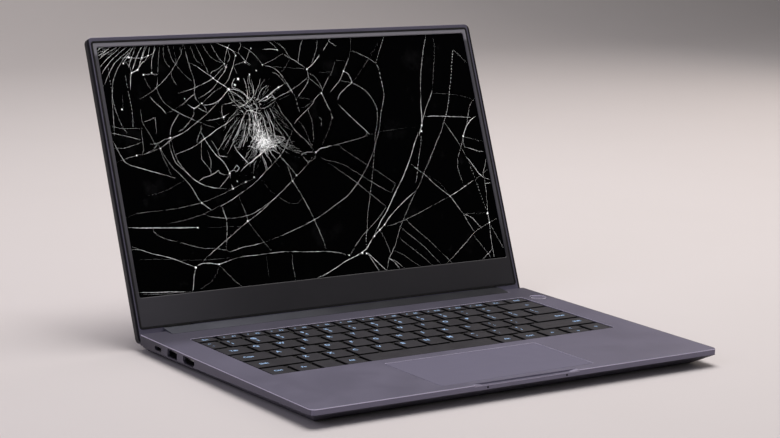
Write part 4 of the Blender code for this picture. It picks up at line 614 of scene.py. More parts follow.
def key_table():
    """All caps as (node or None, labels, middle x, middle y, half width, half depth), by rows."""
    unit = PITCH[0]
    span = KEYS_SPAN + KEY_GAP[0]
    small = LEFT_SMALL_UNIT
    used = LEFT_CTRL_UNIT + 3 * small + RIGHT_ALT_UNIT + RIGHT_CTRL_UNIT + 3 * unit
    fine = span / 15
    rows = [
        [("key_left_ctrl", ("Ctrl",), LEFT_CTRL_UNIT), ("key_fn", ("Fn",), small),
         ("key_start", (), small), ("key_left_alt", ("Alt",), small), ("key_space", (), span - used),
         ("key_right_alt", ("Alt",), RIGHT_ALT_UNIT), ("key_right_ctrl", ("Ctrl",), RIGHT_CTRL_UNIT),
         ("key_arrow_left", ("←",), unit), ("arrows", (), unit), ("key_arrow_right", ("→",), unit)],
        [("key_left_shift", ("Shift",), LEFT_SHIFT_UNIT)]
        + [(None, labels, unit) for labels in (
            "Z", "X", "C", "V", "B", "N", "M", "<,", ">.", "?/")]
        + [("key_right_shift", ("Shift",), span - LEFT_SHIFT_UNIT - 10 * unit)],
        [("key_caps_lock", ("Caps",), CAPS_UNIT)]
        + [(None, labels, unit) for labels in (
            "A", "S", "D", "F", "G", "H", "J", "K", "L", ":;", "\"'")]
        + [("key_enter", ("Enter",), span - CAPS_UNIT - 11 * unit)],
        [("key_tab", ("Tab",), TAB_UNIT)]
        + [(None, labels, unit) for labels in (
            "Q", "W", "E", "R", "T", "Y", "U", "I", "O", "P", "{[", "}]")]
        + [("key_backslash", "|\\", span - TAB_UNIT - 12 * unit)],
        [(None, "~`", GRAVE_UNIT)]
        + [(None, labels, unit) for labels in (
            "!1", "@2", "#3", "$4", "%5", "^6", "&7", "*8", "(9", ")0", "_-", "+=")]
        + [("key_backspace", ("←",), span - GRAVE_UNIT - 12 * unit)],
        [("key_escape", ("Esc",), fine)]
        + [(None, ("•", "F%d" % k), fine) for k in range(1, 13)]
        + [(None, ("Prt",), fine), (None, ("Del",), fine)],
    ]
    table = []
    for row, units in enumerate(rows):
        left = WELL_CENTRE - KEYS_SPAN / 2
        near = FRONT + KEYS_FROM_FRONT + row * PITCH[1]
        depth = FUNCTION_DEPTH if row == 5 else PITCH[1] - KEY_GAP[1]
        for node, labels, width in units:
            half = (width - KEY_GAP[0]) / 2
            x = left + half
            if node == "arrows":
                part = (depth - ARROW_GAP) / 4
                table.append(("key_arrow_down", ("↓",), x, near + part, half, part))
                table.append(("key_arrow_up", ("↑",), x, near + depth - part, half, part))
            else:
                table.append((node, labels, x, near + depth / 2, half, depth / 2))
            left += width
    return table


class Printer:
    """Turns words into flat solid letters, one mesh for each word."""

    def __init__(self):
        """Start with no word; each is made once and kept."""
        self.made = {}

    def word(self, text, size):
        """Points in millimetres and faces of a word set at a size, its middle at the origin."""
        if (text, size) not in self.made:
            curve = bpy.data.curves.new("word", "FONT")
            curve.body = text
            curve.size = size
            curve.resolution_u = 3
            curve.extrude = 0.008
            curve.offset = size * 0.022
            holder = bpy.data.objects.new("word", curve)
            bpy.context.scene.collection.objects.link(holder)
            shape = holder.evaluated_get(bpy.context.evaluated_depsgraph_get())
            mesh = bpy.data.meshes.new_from_object(shape)
            bpy.data.objects.remove(holder)
            bpy.data.curves.remove(curve)
            points = np.zeros(len(mesh.vertices) * 3)
            mesh.vertices.foreach_get("co", points)
            points = points.reshape(-1, 3)
            points[:, :2] -= (points[:, :2].min(0) + points[:, :2].max(0)) / 2
            faces = [tuple(p.vertices) for p in mesh.polygons]
            bpy.data.meshes.remove(mesh)
            self.made[(text, size)] = (points, faces)
        return self.made[(text, size)]

    def sheet(self, words, surface):
        """One set of points and faces for many words, each (text, size, x, y), laid on a surface."""
        parts = []
        for text, size, x, y in words:
            form, sides = self.word(text, size)
            laid = form + (x, y, 0)
            laid[:, 2] += surface(laid[:, 0], laid[:, 1])
            parts.append((laid, sides))
        return joined(parts)


def cap_words(labels, x, y, half, depth, node, size):
    """Where the words of one cap go, as (text, size, x, y)."""
    if not labels:
        return []
    short = depth < SHORT_CAP
    left = x - half + LEGEND_INSET
    if len(labels) == 2 and short:
        return [(labels[0], size * 0.8, x - half * 0.5, y + 0.6),
                (labels[1], size * 0.62, x + half * 0.42, y)]
    if len(labels) == 2:
        return [(labels[0], size * 0.82, left, y + 3.7), (labels[1], size * 0.86, left, y - 1.9)]
    word = labels[0]
    if len(word) == 1 and word.isalpha():
        return [(word, size, left, y + 3.4)]
    small = size * (0.66 if short else 0.74)
    if node in ("key_left_shift", "key_caps_lock", "key_tab"):
        return [(word, small, x - half + WORD_INSET, y)]
    if node in ("key_right_shift", "key_enter", "key_backspace"):
        return [(word, small, x + half - WORD_INSET, y)]
    return [(word, small, x, y)]


def rounded_lips(form, levels, width):
    """Round the upper edges of the openings: sharp convex edges that lie at given levels."""
    chosen = []
    for edge in form.edges:
        heights = [v.co.z / MM for v in edge.verts]
        if len(edge.link_faces) != 2 or abs(heights[0] - heights[1]) > 0.01:
            continue
        flat = [f for f in edge.link_faces if f.normal.z > 0.95]
        if len(flat) == 1 and min(abs(heights[0] - level) for level in levels) < 0.02:
            if edge.is_convex and edge.calc_face_angle() > math.radians(60):
                chosen.append(edge)
    bmesh.ops.bevel(
        form, geom=chosen, offset=width * MM, offset_type="OFFSET", segments=2, profile=0.5,
        affect="EDGES", clamp_overlap=True)


def copied_form(node):
    """A CAD node's mesh copied, and the copy's triangles merged into one skin: (mesh, form)."""
    mesh = NODES[node].data.copy()
    form = bmesh.new()
    form.from_mesh(mesh)
    bmesh.ops.remove_doubles(form, verts=form.verts, dist=0.001 * MM)
    return mesh, form


def merged_copy(name, node, material, angle, levels=()):
    """A CAD node's own form as one skin: flats joined, lips rounded, round parts shaded smooth."""
    mesh, form = copied_form(node)
    mesh.name = name
    bmesh.ops.dissolve_limit(
        form, angle_limit=math.radians(0.4), verts=form.verts, edges=form.edges)
    if levels:
        rounded_lips(form, levels, LIP_ROUND)
    form.to_mesh(mesh)
    form.free()
    if "custom_normal" in mesh.attributes:
        mesh.attributes.remove(mesh.attributes["custom_normal"])
    mesh.materials.clear()
    mesh.materials.append(material)
    mesh.shade_smooth()
    mesh.set_sharp_from_angle(angle=math.radians(angle))
    piece = bpy.data.objects.new(name, mesh)
    bpy.context.scene.collection.objects.link(piece)
    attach(piece, NODES[node]["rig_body"])
    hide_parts(node)


def dress(node, material):
    """Give a CAD node a finish."""
    NODES[node].data.materials.clear()
    NODES[node].data.materials.append(material)


def from_lid(points):
    """Lid places to the row frame, in millimetres: x across, y up the lid, z out of its face."""
    points = np.asarray(points, float)
    x, y, z = points[..., 0], points[..., 1], points[..., 2]
    return np.stack((
        x, AXIS_Y + y * math.sin(LEAN) - z * math.cos(LEAN),
        AXIS_Z + y * math.cos(LEAN) + z * math.sin(LEAN)), axis=-1)


def on_panel(x, y, lift):
    """Display places to the row frame; lift is the height over the glass."""
    return from_lid(np.stack((x, y + PANEL_BOTTOM, np.zeros_like(x) + PANEL_LEVEL + lift), axis=-1))


# Cracks of the display as (whiteness, points), read off the panel in millimetres
CORNER_FAN = (
    (0.8, (-154, 171.5), (-151, 173.5)),
    (0.9, (-154, 168), (-150, 170), (-144, 173.5)),
    (0.8, (-154, 165.3), (-150, 168.3), (-146, 170.3), (-139, 173.5)),
    (0.8, (-154, 160), (-150, 163.8), (-145, 167.5), (-136, 173.5)),
    (0.8, (-154, 155), (-150, 159.5), (-144, 165), (-137, 170), (-131, 173.5)),
    (0.8, (-154, 146.5), (-149, 154), (-143, 162), (-137, 166.5), (-126, 173.8)),
    (0.7, (-152, 112), (-150.5, 125), (-149, 138), (-146, 150), (-141, 158.5), (-134, 166.5),
     (-124, 173.8)),
    (0.9, (-136, 162), (-131, 167.5), (-126, 173.5)),
    (0.9, (-133, 158), (-129.5, 165), (-124, 173.5)),
    (0.9, (-131, 155), (-127, 162.5), (-123, 169), (-119, 173.8)),
    (0.9, (-126, 157), (-121, 166), (-117, 173.8)),
    (0.8, (-122, 163), (-118.5, 169.5), (-115.5, 173.8)),
    (0.8, (-118.5, 164), (-116, 167), (-113, 173.8)),
    (0.8, (-115.5, 154.5), (-114, 163), (-111, 169), (-109.5, 173.8)),
    (0.6, (-111, 153), (-109, 162), (-107, 169), (-105, 173.8)),
    (0.6, (-100, 157), (-103, 161), (-104, 166), (-102.5, 173.8)),
    (0.7, (-96, 159.5), (-98, 164), (-99.5, 173.8)),
    (0.6, (-100, 156), (-100.5, 151), (-98, 145)),
    (0.9, (-137, 165.5), (-131, 166.3), (-127, 165.4), (-121, 165.2), (-116, 166.8)),
    (1.0, (-134, 143), (-133, 149), (-131, 155), (-126, 157), (-122, 161.5), (-118, 164)),
    (0.7, (-123, 153.3), (-116, 153.6), (-110.5, 153)),
    (0.8, (-116, 166.7), (-112, 168), (-109, 172)),
    (0.6, (-131, 155), (-131.5, 160), (-135, 163)),
)
LEFT_SIDE = (
    (0.7, (-115.5, 154.5), (-111.5, 151), (-113.5, 144), (-113, 139), (-110, 133), (-105, 128.5),
     (-99.5, 125), (-93, 121.5), (-86, 118), (-78, 114.5), (-72, 112.8)),
    (0.5, (-122, 152), (-120, 146), (-118, 142.5)),
    (0.7, (-129, 136), (-119, 140.5), (-113, 144.3), (-106, 149.5), (-100, 155), (-95, 160.5),
     (-90, 167), (-87, 174)),
    (0.9, (-120, 137.5), (-117, 133.5), (-112.5, 129), (-110, 125.3)),
    (0.4, (-110, 125.3), (-103, 127.5), (-98.5, 130), (-93, 133), (-85, 138)),
    (0.6, (-148, 145), (-148.7, 138), (-148, 130), (-146.5, 123), (-144.5, 117), (-141.5, 112)),
    (0.3, (-141, 140), (-142, 130)),
    (0.5, (-129, 129), (-129.3, 120), (-125, 111), (-123, 105)),
    (0.6, (-129.3, 120), (-123, 121.5), (-119, 122.5), (-120, 111)),
    (0.6, (-131, 116), (-131.5, 107), (-132, 101), (-134, 98)),
    (0.5, (-154, 119), (-149, 117.5), (-144, 116.5), (-130, 116)),
    (0.7, (-154, 114), (-148, 112.5), (-141, 110.5), (-131.5, 107.5)),
    (0.8, (-99.5, 125), (-105, 119), (-108, 115), (-110, 109)),
    (0.7, (-154, 103.5), (-147, 103), (-141, 104), (-131.5, 106.5)),
    (0.8, (-154, 109), (-152, 103), (-150, 98), (-147, 92.5), (-140, 89.5), (-130, 86),
     (-118, 82), (-108.5, 78.5)),
    (0.6, (-153, 93.5), (-147, 95.5), (-138, 97.3), (-131, 98), (-124, 100), (-120, 101)),
    (0.7, (-127, 104.5), (-120, 104.8), (-115, 107), (-109.5, 108), (-103, 109.5), (-97, 112)),
    (0.6, (-120.5, 104.5), (-124, 101), (-131, 98)),
    (0.8, (-119, 101), (-114, 104), (-109.5, 107), (-97, 112), (-86.5, 118), (-80, 122), (-73, 127),
     (-65, 133), (-60, 137.5), (-57, 140)),
    (0.7, (-119, 101), (-116, 94), (-112, 87), (-107, 81.5), (-104, 78), (-100, 72), (-97, 65), (-95, 61)),
    (0.5, (-120, 104), (-118, 94), (-116, 88), (-114, 81)),
    (0.9, (-110, 108), (-111.5, 104), (-111, 97), (-109.5, 91), (-106, 87), (-102, 83), (-98.5, 79),
     (-95, 76), (-90, 73), (-84, 71), (-77, 69.7), (-68, 69)),
    (0.7, (-109.5, 106), (-109, 98), (-107, 91), (-104, 86), (-100, 80)),
    (0.9, (-108.5, 96), (-103, 97.5), (-96, 99.5), (-90, 102), (-84, 105.5), (-78, 108.5), (-72, 112),
     (-65, 115), (-58, 119), (-52, 122.5)),
    (0.3, (-135, 69), (-127, 70), (-119, 72), (-111, 75), (-104, 78)),
    (0.5, (-154, 55), (-145, 57.5), (-130, 58), (-115, 58.5), (-95, 61), (-85, 63.5), (-75, 66.5),
     (-68, 69), (-60, 72), (-52, 74.5), (-45, 76)),
    (0.4, (-125, 48.5), (-110, 50), (-95, 53), (-88, 55.5)),
    (0.7, (-88, 55.5), (-79, 58), (-70, 61.5), (-62, 65.5), (-53, 70), (-45, 75), (-37, 81), (-30, 86),
     (-25, 90), (-20, 95), (-15, 102), (-12, 106)),
    (0.6, (-95, 53), (-90, 51), (-85, 50), (-77.5, 48.7), (-70, 48.3), (-62, 49), (-55, 50.5), (-47, 54),
     (-37, 59), (-28, 65), (-20, 70.5), (-14, 74.5), (-8, 79), (-3, 83), (1, 87), (5, 90)),
    (0.8, (-79, 58), (-78.5, 53), (-77.5, 48.7), (-78, 43), (-79.5, 36), (-82, 27)),
    (0.8, (-94.5, 61), (-88, 55.3)),
)
LOWER_LEFT = (
    (0.7, (-104, 18.5), (-98, 23), (-88, 29), (-78, 35), (-68, 41), (-61, 45), (-55, 48), (-47, 52.5),
     (-38, 58.5), (-29, 64), (-20, 70)),
    (0.5, (-64.5, 63), (-61, 50), (-60.5, 45), (-57, 39), (-51, 29.5), (-45, 21.5)),
    (1.0, (-154, 48.5), (-143, 47.3), (-130, 46.3), (-115, 45), (-101, 44.2)),
    (0.3, (-95, 43.5), (-80, 42.8), (-65, 42)),
    (0.6, (-135, 47), (-135, 44), (-132, 41), (-125, 37.5), (-115, 34.5), (-105, 31), (-98, 29),
     (-90, 28.5), (-82, 26.5), (-79, 25.3)),
    (0.8, (-79, 25.3), (-75, 26), (-68, 27.5), (-60, 28), (-51, 29.5)),
    (0.6, (-51, 29.5), (-40, 32), (-28, 35), (-15, 39), (-5, 42.5), (5, 47), (15, 52), (25, 57), (35, 65),
     (42, 72), (48, 79), (53, 86), (57, 93), (60, 101)),
    (0.5, (-154, 35.5), (-148, 33)),
    (0.9, (-154, 33.5), (-147, 32.5), (-140, 29.5), (-130, 26.5), (-122, 23.5), (-115, 20), (-108, 17)),
    (0.3, (-150, 26), (-135, 25), (-115, 22.5), (-100, 21.3), (-85, 21), (-75, 21)),
    (1.0, (-108, 17), (-103, 19), (-96, 18.7), (-89.5, 17.3), (-84, 18.5), (-76, 20.3)),
    (0.8, (-76, 20.3), (-68, 21), (-58, 21), (-45, 21.3), (-35, 21.3), (-24, 20.3), (-12, 19.3),
     (0, 18.3), (8, 16.8), (17, 14)),
    (0.9, (-108, 16.5), (-110.5, 11), (-112, 5), (-113.5, 0.4)),
    (0.4, (-89.5, 16.5), (-93, 10.5), (-98, 6), (-104, 3), (-108, 1.5)),
    (0.5, (-89, 16), (-83, 9), (-79, 4), (-74.5, 0.4)),
    (0.8, (-154, 4), (-145, 3), (-130, 2), (-116, 0.6)),
    (0.4, (-154, 2.4), (-140, 1.4), (-128, 0.6)),
    (0.6, (-31, 0.4), (-31, 8), (-31, 14), (-29.5, 20.8)),
    (0.3, (-52, 5), (-51.5, 12), (-51, 20.5)),
    (0.3, (-45, 75), (-38, 65), (-32, 60), (-25, 55.5), (-18, 54.5), (-14, 58)),
    (0.7, (-25, 89), (-20, 83), (-14.5, 75)),
    (0.7, (-23, 88), (-20, 80), (-18.5, 71), (-14, 62), (-10, 52), (-6.5, 42), (-4, 33), (-2, 25),
     (-1.5, 20)),
)
LONG_DIAGONALS = (
    (1.0, (-13, 0.4), (-5, 2.5), (5, 6.5), (13, 10), (22, 12.8), (28, 15), (33, 17.5), (37, 22), (41, 26)),
    (0.9, (41, 26), (45, 31), (50, 37), (56, 43), (62, 50.5), (68, 58), (74, 65), (80, 73), (85, 80),
     (88, 85), (92, 92), (96, 98), (99, 101)),
    (1.0, (97, 97), (99, 101), (101.5, 105), (103, 112), (104, 120), (105.5, 128)),
    (0.8, (105.5, 128), (107.5, 137), (110, 146), (113.5, 156), (117, 165), (121, 173.8)),
    (0.8, (102, 107), (107, 116), (111, 122), (115, 127.5), (117, 131)),
    (0.4, (117, 131), (119.5, 139), (122, 148), (125, 158), (127, 167), (126.5, 173.8)),
    (0.7, (122, 106.5), (117, 98), (112, 92), (108, 86), (102, 78), (95, 69), (90, 61.5), (85, 56)),
    (0.5, (85, 56), (80, 50), (75, 43.5), (70, 37)),
    (0.9, (85, 56), (78, 52.5), (70, 47.5), (62, 42), (56, 37.5), (52, 33.5), (47, 30), (41, 26)),
    (0.5, (18, 14), (22, 18.5), (30, 26), (40, 33), (47, 38), (56, 46)),
    (0.8, (85, 76.5), (90, 72), (95, 68.5), (102, 61), (108, 55.5), (114.5, 50), (119, 43), (123.5, 36)),
    (0.7, (123.5, 36), (127, 28), (130, 22)),
    (0.5, (129, 19), (134, 12), (139, 4.5), (141, 0.5)),
    (0.3, (95, 68.5), (102, 65), (108, 60), (113, 53), (114.5, 50)),
    (0.5, (52, 32), (60, 33), (70, 35.5), (82, 39), (95, 43.5), (105, 47), (114.5, 50)),
    (0.9, (114.5, 50), (122, 53), (131, 57), (139, 60.5)),
    (0.4, (139, 60.5), (147, 64), (154, 68)),
    (0.6, (70, 37), (66, 32), (62, 25), (58, 18), (54, 13), (50, 8), (48, 3), (46.5, 0.6)),
    (0.5, (70, 37), (78, 28.5), (86, 21), (94, 12.5), (102, 3.5), (105, 0.5)),
    (0.5, (65, 31), (73, 23.5), (82, 15.5), (90, 6), (95, 0.5)),
    (0.5, (61, 24), (69, 17), (77, 10), (87, 0.5)),
    (0.4, (55, 14.5), (63, 10.5), (70, 5), (76, 0.5)),
    (0.8, (50.5, 9), (54, 6), (58, 0.6)),
    (0.6, (50, 8.5), (55.5, 6.4), (62, 0.6)),
    (0.9, (33, 14.5), (38, 9), (43, 3.5), (46, 0.5)),
    (0.8, (33, 14), (36.5, 7), (40, 0.6)),
    (0.5, (47, 30), (50, 23), (52, 15), (52.5, 11)),
)
RIGHT_SIDE = (
    (0.5, (143, 161.5), (148, 157), (154, 150)),
    (0.8, (124, 36), (127, 34.5), (131, 32), (135, 27), (137, 24.5)),
    (0.3, (124, 36), (133, 35.5), (145, 35)),
    (0.6, (100, 0.5), (108, 5.5), (116, 11), (124, 16.5), (129, 20.5), (133, 22.7), (139, 25),
     (146, 27.5), (154, 30.5)),
    (0.7, (149, 61), (148.5, 52), (147, 42), (146, 35)),
    (0.9, (146, 38), (146, 35), (145.7, 28), (145, 22)),
    (0.7, (145, 22), (144.5, 18), (144, 8), (144, 0.6)),
    (0.7, (137, 94), (136, 87), (137, 86), (142, 84.5), (149, 82), (154, 81.5)),
    (1.0, (152, 109), (147, 106.5), (142, 102), (138.5, 97), (137, 94)),
    (0.7, (137, 94), (134, 88), (131, 83), (128, 77), (126.5, 71), (127.5, 64), (129, 57)),
    (0.6, (122, 106.5), (127, 98), (131, 91), (134, 84), (136, 78.5)),
    (1.0, (136, 78.5), (139, 75), (142, 70), (145, 65), (149, 61.5)),
    (0.7, (149, 61.5), (154, 60)),
    (0.8, (149, 57), (154, 57.5)),
    (0.5, (137, 94), (143, 92.5), (150, 90.5), (154, 89.5)),
    (0.8, (106, 111.5), (115, 111.3), (130, 110), (147, 108.5)),
    (0.3, (117, 129), (125, 128), (135, 127), (145, 125), (153, 121.5)),
    (0.6, (154, 122.5), (149, 118), (146, 112), (144, 107), (142, 102)),
    (0.7, (154, 76), (152, 71), (149, 66), (148.5, 62)),
    (0.5, (146, 27), (149, 19), (153, 10), (154, 7)),
    (0.6, (144, 8), (141, 5.5), (137, 3), (133, 0.6)),
    (0.4, (53, 173.8), (51, 165), (49, 160)),
    (0.7, (49, 160), (45, 154), (41.5, 149), (36.5, 142), (31, 137.5), (27, 134)),
    (0.6, (51, 164.5), (58, 161.5), (65, 158), (71, 153.5)),
    (0.9, (41.5, 149), (45, 147), (46.5, 143), (47, 140)),
    (0.9, (47, 140), (40, 136), (34.5, 132), (32, 128)),
    (0.6, (46.5, 140), (52, 137.5), (58, 133), (62, 127), (64.5, 120)),
    (0.3, (47, 140), (53, 145), (58, 150), (64, 156), (72, 164), (80, 173)),
    (0.4, (37, 142), (47, 140)),
    (0.9, (31, 125), (37, 118.5), (44, 111), (50, 105), (53.5, 101)),
    (0.6, (52, 103), (50, 99.5)),
    (1.0, (5, 90), (9, 93), (14, 93.5), (19, 94.5)),
    (0.5, (19, 94.5), (25, 95), (33, 96.5), (42, 98), (52, 100)),
    (0.2, (52, 100), (62, 102), (80, 103.5), (98, 104)),
    (0.5, (24.5, 95), (29, 91), (36, 86), (46, 79), (54, 73.5), (60, 69), (66, 64.5), (68, 62.5),
     (65, 59), (63.5, 56.5)),
    (0.5, (6, 88), (12, 84.5), (20, 82.5), (28, 79), (37, 73), (46, 67), (55, 61), (63.5, 56.5)),
    (0.5, (13, 82.5), (20, 77.5), (28, 71.5), (36, 65), (46, 56), (51, 51.5), (56, 47)),
    (0.9, (33.5, 172), (30, 168), (27, 165)),
    (0.9, (35, 173.8), (33.5, 172), (36, 170), (39, 168)),
    (0.4, (36, 157), (33, 152), (29, 145)),
    (0.4, (36, 157.5), (44, 156.5)),
    (0.3, (30, 149), (20, 149)),
)
UPPER_MIDDLE = (
    (0.8, (-12, 109), (-5, 115.5), (0, 119), (5, 122.5), (10, 126), (12, 129), (15, 131.5), (19, 134)),
    (1.0, (19, 134), (21, 128), (22.5, 123), (24, 120.5)),
    (0.6, (19, 134), (22, 138), (25, 142), (27.5, 145)),
    (0.8, (10.5, 152), (10.5, 146), (9, 142), (5, 137.5), (1, 134), (-1.5, 131.5)),
    (0.7, (10.5, 146), (3, 141.5), (-6, 137), (-10, 135)),
    (0.9, (10.5, 152), (15, 154.5), (20, 158.5), (24, 162.5)),
    (0.5, (24, 173.8), (22, 167), (18, 160), (15, 155)),
    (0.7, (10.5, 152), (5, 156), (1, 159), (-2, 160.5), (-5, 167), (-9, 171), (-13, 173.5)),
    (0.6, (-2, 160), (-7.5, 164), (-14, 161), (-20, 158.5), (-26, 156.5)),
    (0.6, (4, 156.5), (5, 160), (7, 165), (9, 170), (11.5, 173.8)),
    (0.4, (-2, 160), (-7, 154.5), (-12, 150)),
    (0.4, (10.5, 152), (0, 153), (-10, 154), (-18, 155)),
    (0.9, (-11.5, 167), (-17, 167.8), (-23, 167.8)),
    (0.5, (-11.5, 167), (-14, 171), (-18, 173.8)),
    (0.6, (-40, 171), (-34, 167), (-30, 163), (-27, 158), (-26, 156)),
    (0.6, (-34, 168), (-37, 163), (-40, 158.5), (-36, 156.5)),
    (0.8, (-26, 156), (-20, 155), (-16, 153), (-13, 150), (-10, 145), (-7, 139), (-4, 132.5)),
    (0.6, (-20, 151), (-15, 149), (-11.5, 144), (-6, 137.5)),
    (1.0, (-11, 141.5), (-16, 139.5), (-22, 136.5), (-27, 133)),
    (0.7, (-6, 137), (-14, 134), (-20, 131.5), (-26, 129)),
    (0.4, (12, 129), (0, 131), (-4, 131)),
    (0.4, (12, 129), (5, 125), (0, 123.5)),
    (0.7, (-20, 129), (-18.5, 124), (-17, 120), (-12, 113), (-9.5, 108), (-5, 103), (0, 98), (3, 92)),
    (0.5, (-5, 115), (-1.5, 110), (0.5, 104), (2, 97), (3, 92)),
    (0.7, (3, 91), (-3, 91), (-8, 89)),
    (0.6, (-7, 89), (-3, 84), (3, 86), (5, 90)),
    (0.6, (10, 146), (15, 141.5), (20, 137)),
    (0.6, (11, 149), (16, 146), (19, 141), (20, 136)),
    (0.7, (-65, 173.5), (-63, 168), (-60, 162), (-57, 158.5)),
    (1.0, (-60, 173.8), (-55, 171.5), (-52, 170), (-48, 167.5), (-46.5, 164.5)),
    (0.7, (-48, 167.5), (-44, 166), (-41, 162), (-38, 158.5), (-36, 157)),
    (0.8, (-49, 173.8), (-52, 170), (-54, 166), (-56.5, 160), (-57, 154), (-61, 150), (-65, 146.5)),
    (0.7, (-52, 170), (-51.5, 163), (-55, 158), (-57, 154)),
    (0.6, (-44, 167), (-41, 171), (-41, 173.8)),
    (0.7, (-46.5, 164), (-49, 159.5), (-50, 157), (-53, 152), (-56, 147), (-60, 143.5)),
    (0.5, (-50, 157), (-48, 151)),
    (0.6, (-50, 157), (-44, 158.5), (-40, 159.5)),
    (0.7, (-57, 158.5), (-63, 155), (-68, 153), (-70, 151)),
    (0.7, (-57, 157), (-62, 153), (-68, 148.5), (-75, 145.5), (-85, 142), (-98, 138.8)),
    (0.9, (-86, 161), (-80, 158), (-75, 154), (-70, 150.5), (-65, 146), (-60.5, 143), (-57, 140)),
    (1.0, (-57, 140), (-52, 139.5), (-48, 138), (-44, 134.5), (-41, 130)),
    (0.8, (-57, 140), (-55, 136), (-54.5, 131), (-64, 129)),
    (0.7, (-77.5, 173.5), (-75, 166), (-73, 159), (-70.5, 151)),
    (0.6, (-82, 173.5), (-80.5, 167), (-79, 162), (-75, 158.5)),
    (0.6, (-72, 173.8), (-70, 169), (-67, 164), (-63, 161), (-58, 159)),
    (0.7, (-86.5, 173.5), (-86, 166), (-85, 157), (-83.5, 149), (-83.5, 144), (-85, 139), (-84.5, 134),
     (-82, 130.5)),
    (0.5, (-90, 173.8), (-90, 167)),
    (0.5, (-95, 172), (-95, 160), (-93.5, 156), (-90, 152), (-85.5, 147)),
    (0.6, (-65, 146), (-68, 142.5), (-72, 139.5), (-78, 136.5), (-83, 134.5)),
    (0.5, (-62, 142), (-68, 139.5), (-74, 135.5), (-80, 131)),
    (1.0, (-80, 129.7), (-75, 129.7), (-69, 131), (-64, 134), (-60, 137.5), (-57, 140)),
    (1.0, (-92, 130.7), (-87.5, 127.8), (-85, 128.7), (-82, 130.3)),
    (0.8, (-85, 128.7), (-81, 126), (-77.5, 124.3), (-79.5, 130)),
    (0.7, (-85, 138), (-90, 135), (-95, 131.5), (-98, 130)),
    (0.7, (-87.5, 127), (-88.5, 123.5), (-91, 120), (-98, 114), (-103, 112)),
    (0.7, (-64.5, 129), (-66, 124), (-65, 117)),
    (0.7, (-60, 123), (-65, 120.5), (-72, 119), (-80, 118.5)),
    (0.7, (-84, 116), (-85, 112), (-89, 106), (-89.5, 103.5)),
    (1.0, (-85, 110), (-83, 105), (-80, 99), (-76, 93), (-72, 89), (-69.5, 84), (-68.3, 80), (-68.5, 76)),
    (0.7, (-85.5, 108), (-87, 100), (-88.5, 92), (-87.5, 90), (-83.5, 84.5), (-83, 80)),
    (0.6, (-83, 98), (-81.5, 90), (-82.5, 84)),
    (0.7, (-79, 106), (-76.5, 101), (-74.5, 97), (-71, 100.5), (-66, 105), (-60, 110)),
    (0.8, (-74.5, 97), (-74, 93), (-68, 92)),
    (0.4, (-72, 100), (-70.5, 97), (-68, 99.5)),
    (0.8, (-94.5, 76), (-89, 78.5), (-84, 79.5), (-79, 81.5), (-77, 82.7), (-75.5, 80.3), (-70, 79)),
    (0.8, (-68.3, 79), (-73, 75), (-79, 70)),
    (0.9, (-68, 81), (-64.5, 82.5)),
    (0.9, (-64.5, 82.5), (-61.7, 85.6)),
    (0.9, (-61.7, 85.6), (-59.8, 83.4)),
    (0.9, (-59.8, 83.4), (-62.6, 80.6)),
    (0.9, (-62.6, 80.6), (-64.5, 82.5)),
    (1.0, (-60, 80.5), (-55, 84), (-52, 86), (-49, 87), (-45, 90), (-41, 92), (-38, 95)),
    (1.0, (-58.5, 94.5), (-55, 90), (-52, 86)),
    (1.0, (-68.5, 72), (-67.8, 69)),
    (0.8, (-38, 150), (-39, 144), (-37, 138)),
    (0.8, (-37.5, 80), (-38, 86), (-40, 92)),
)
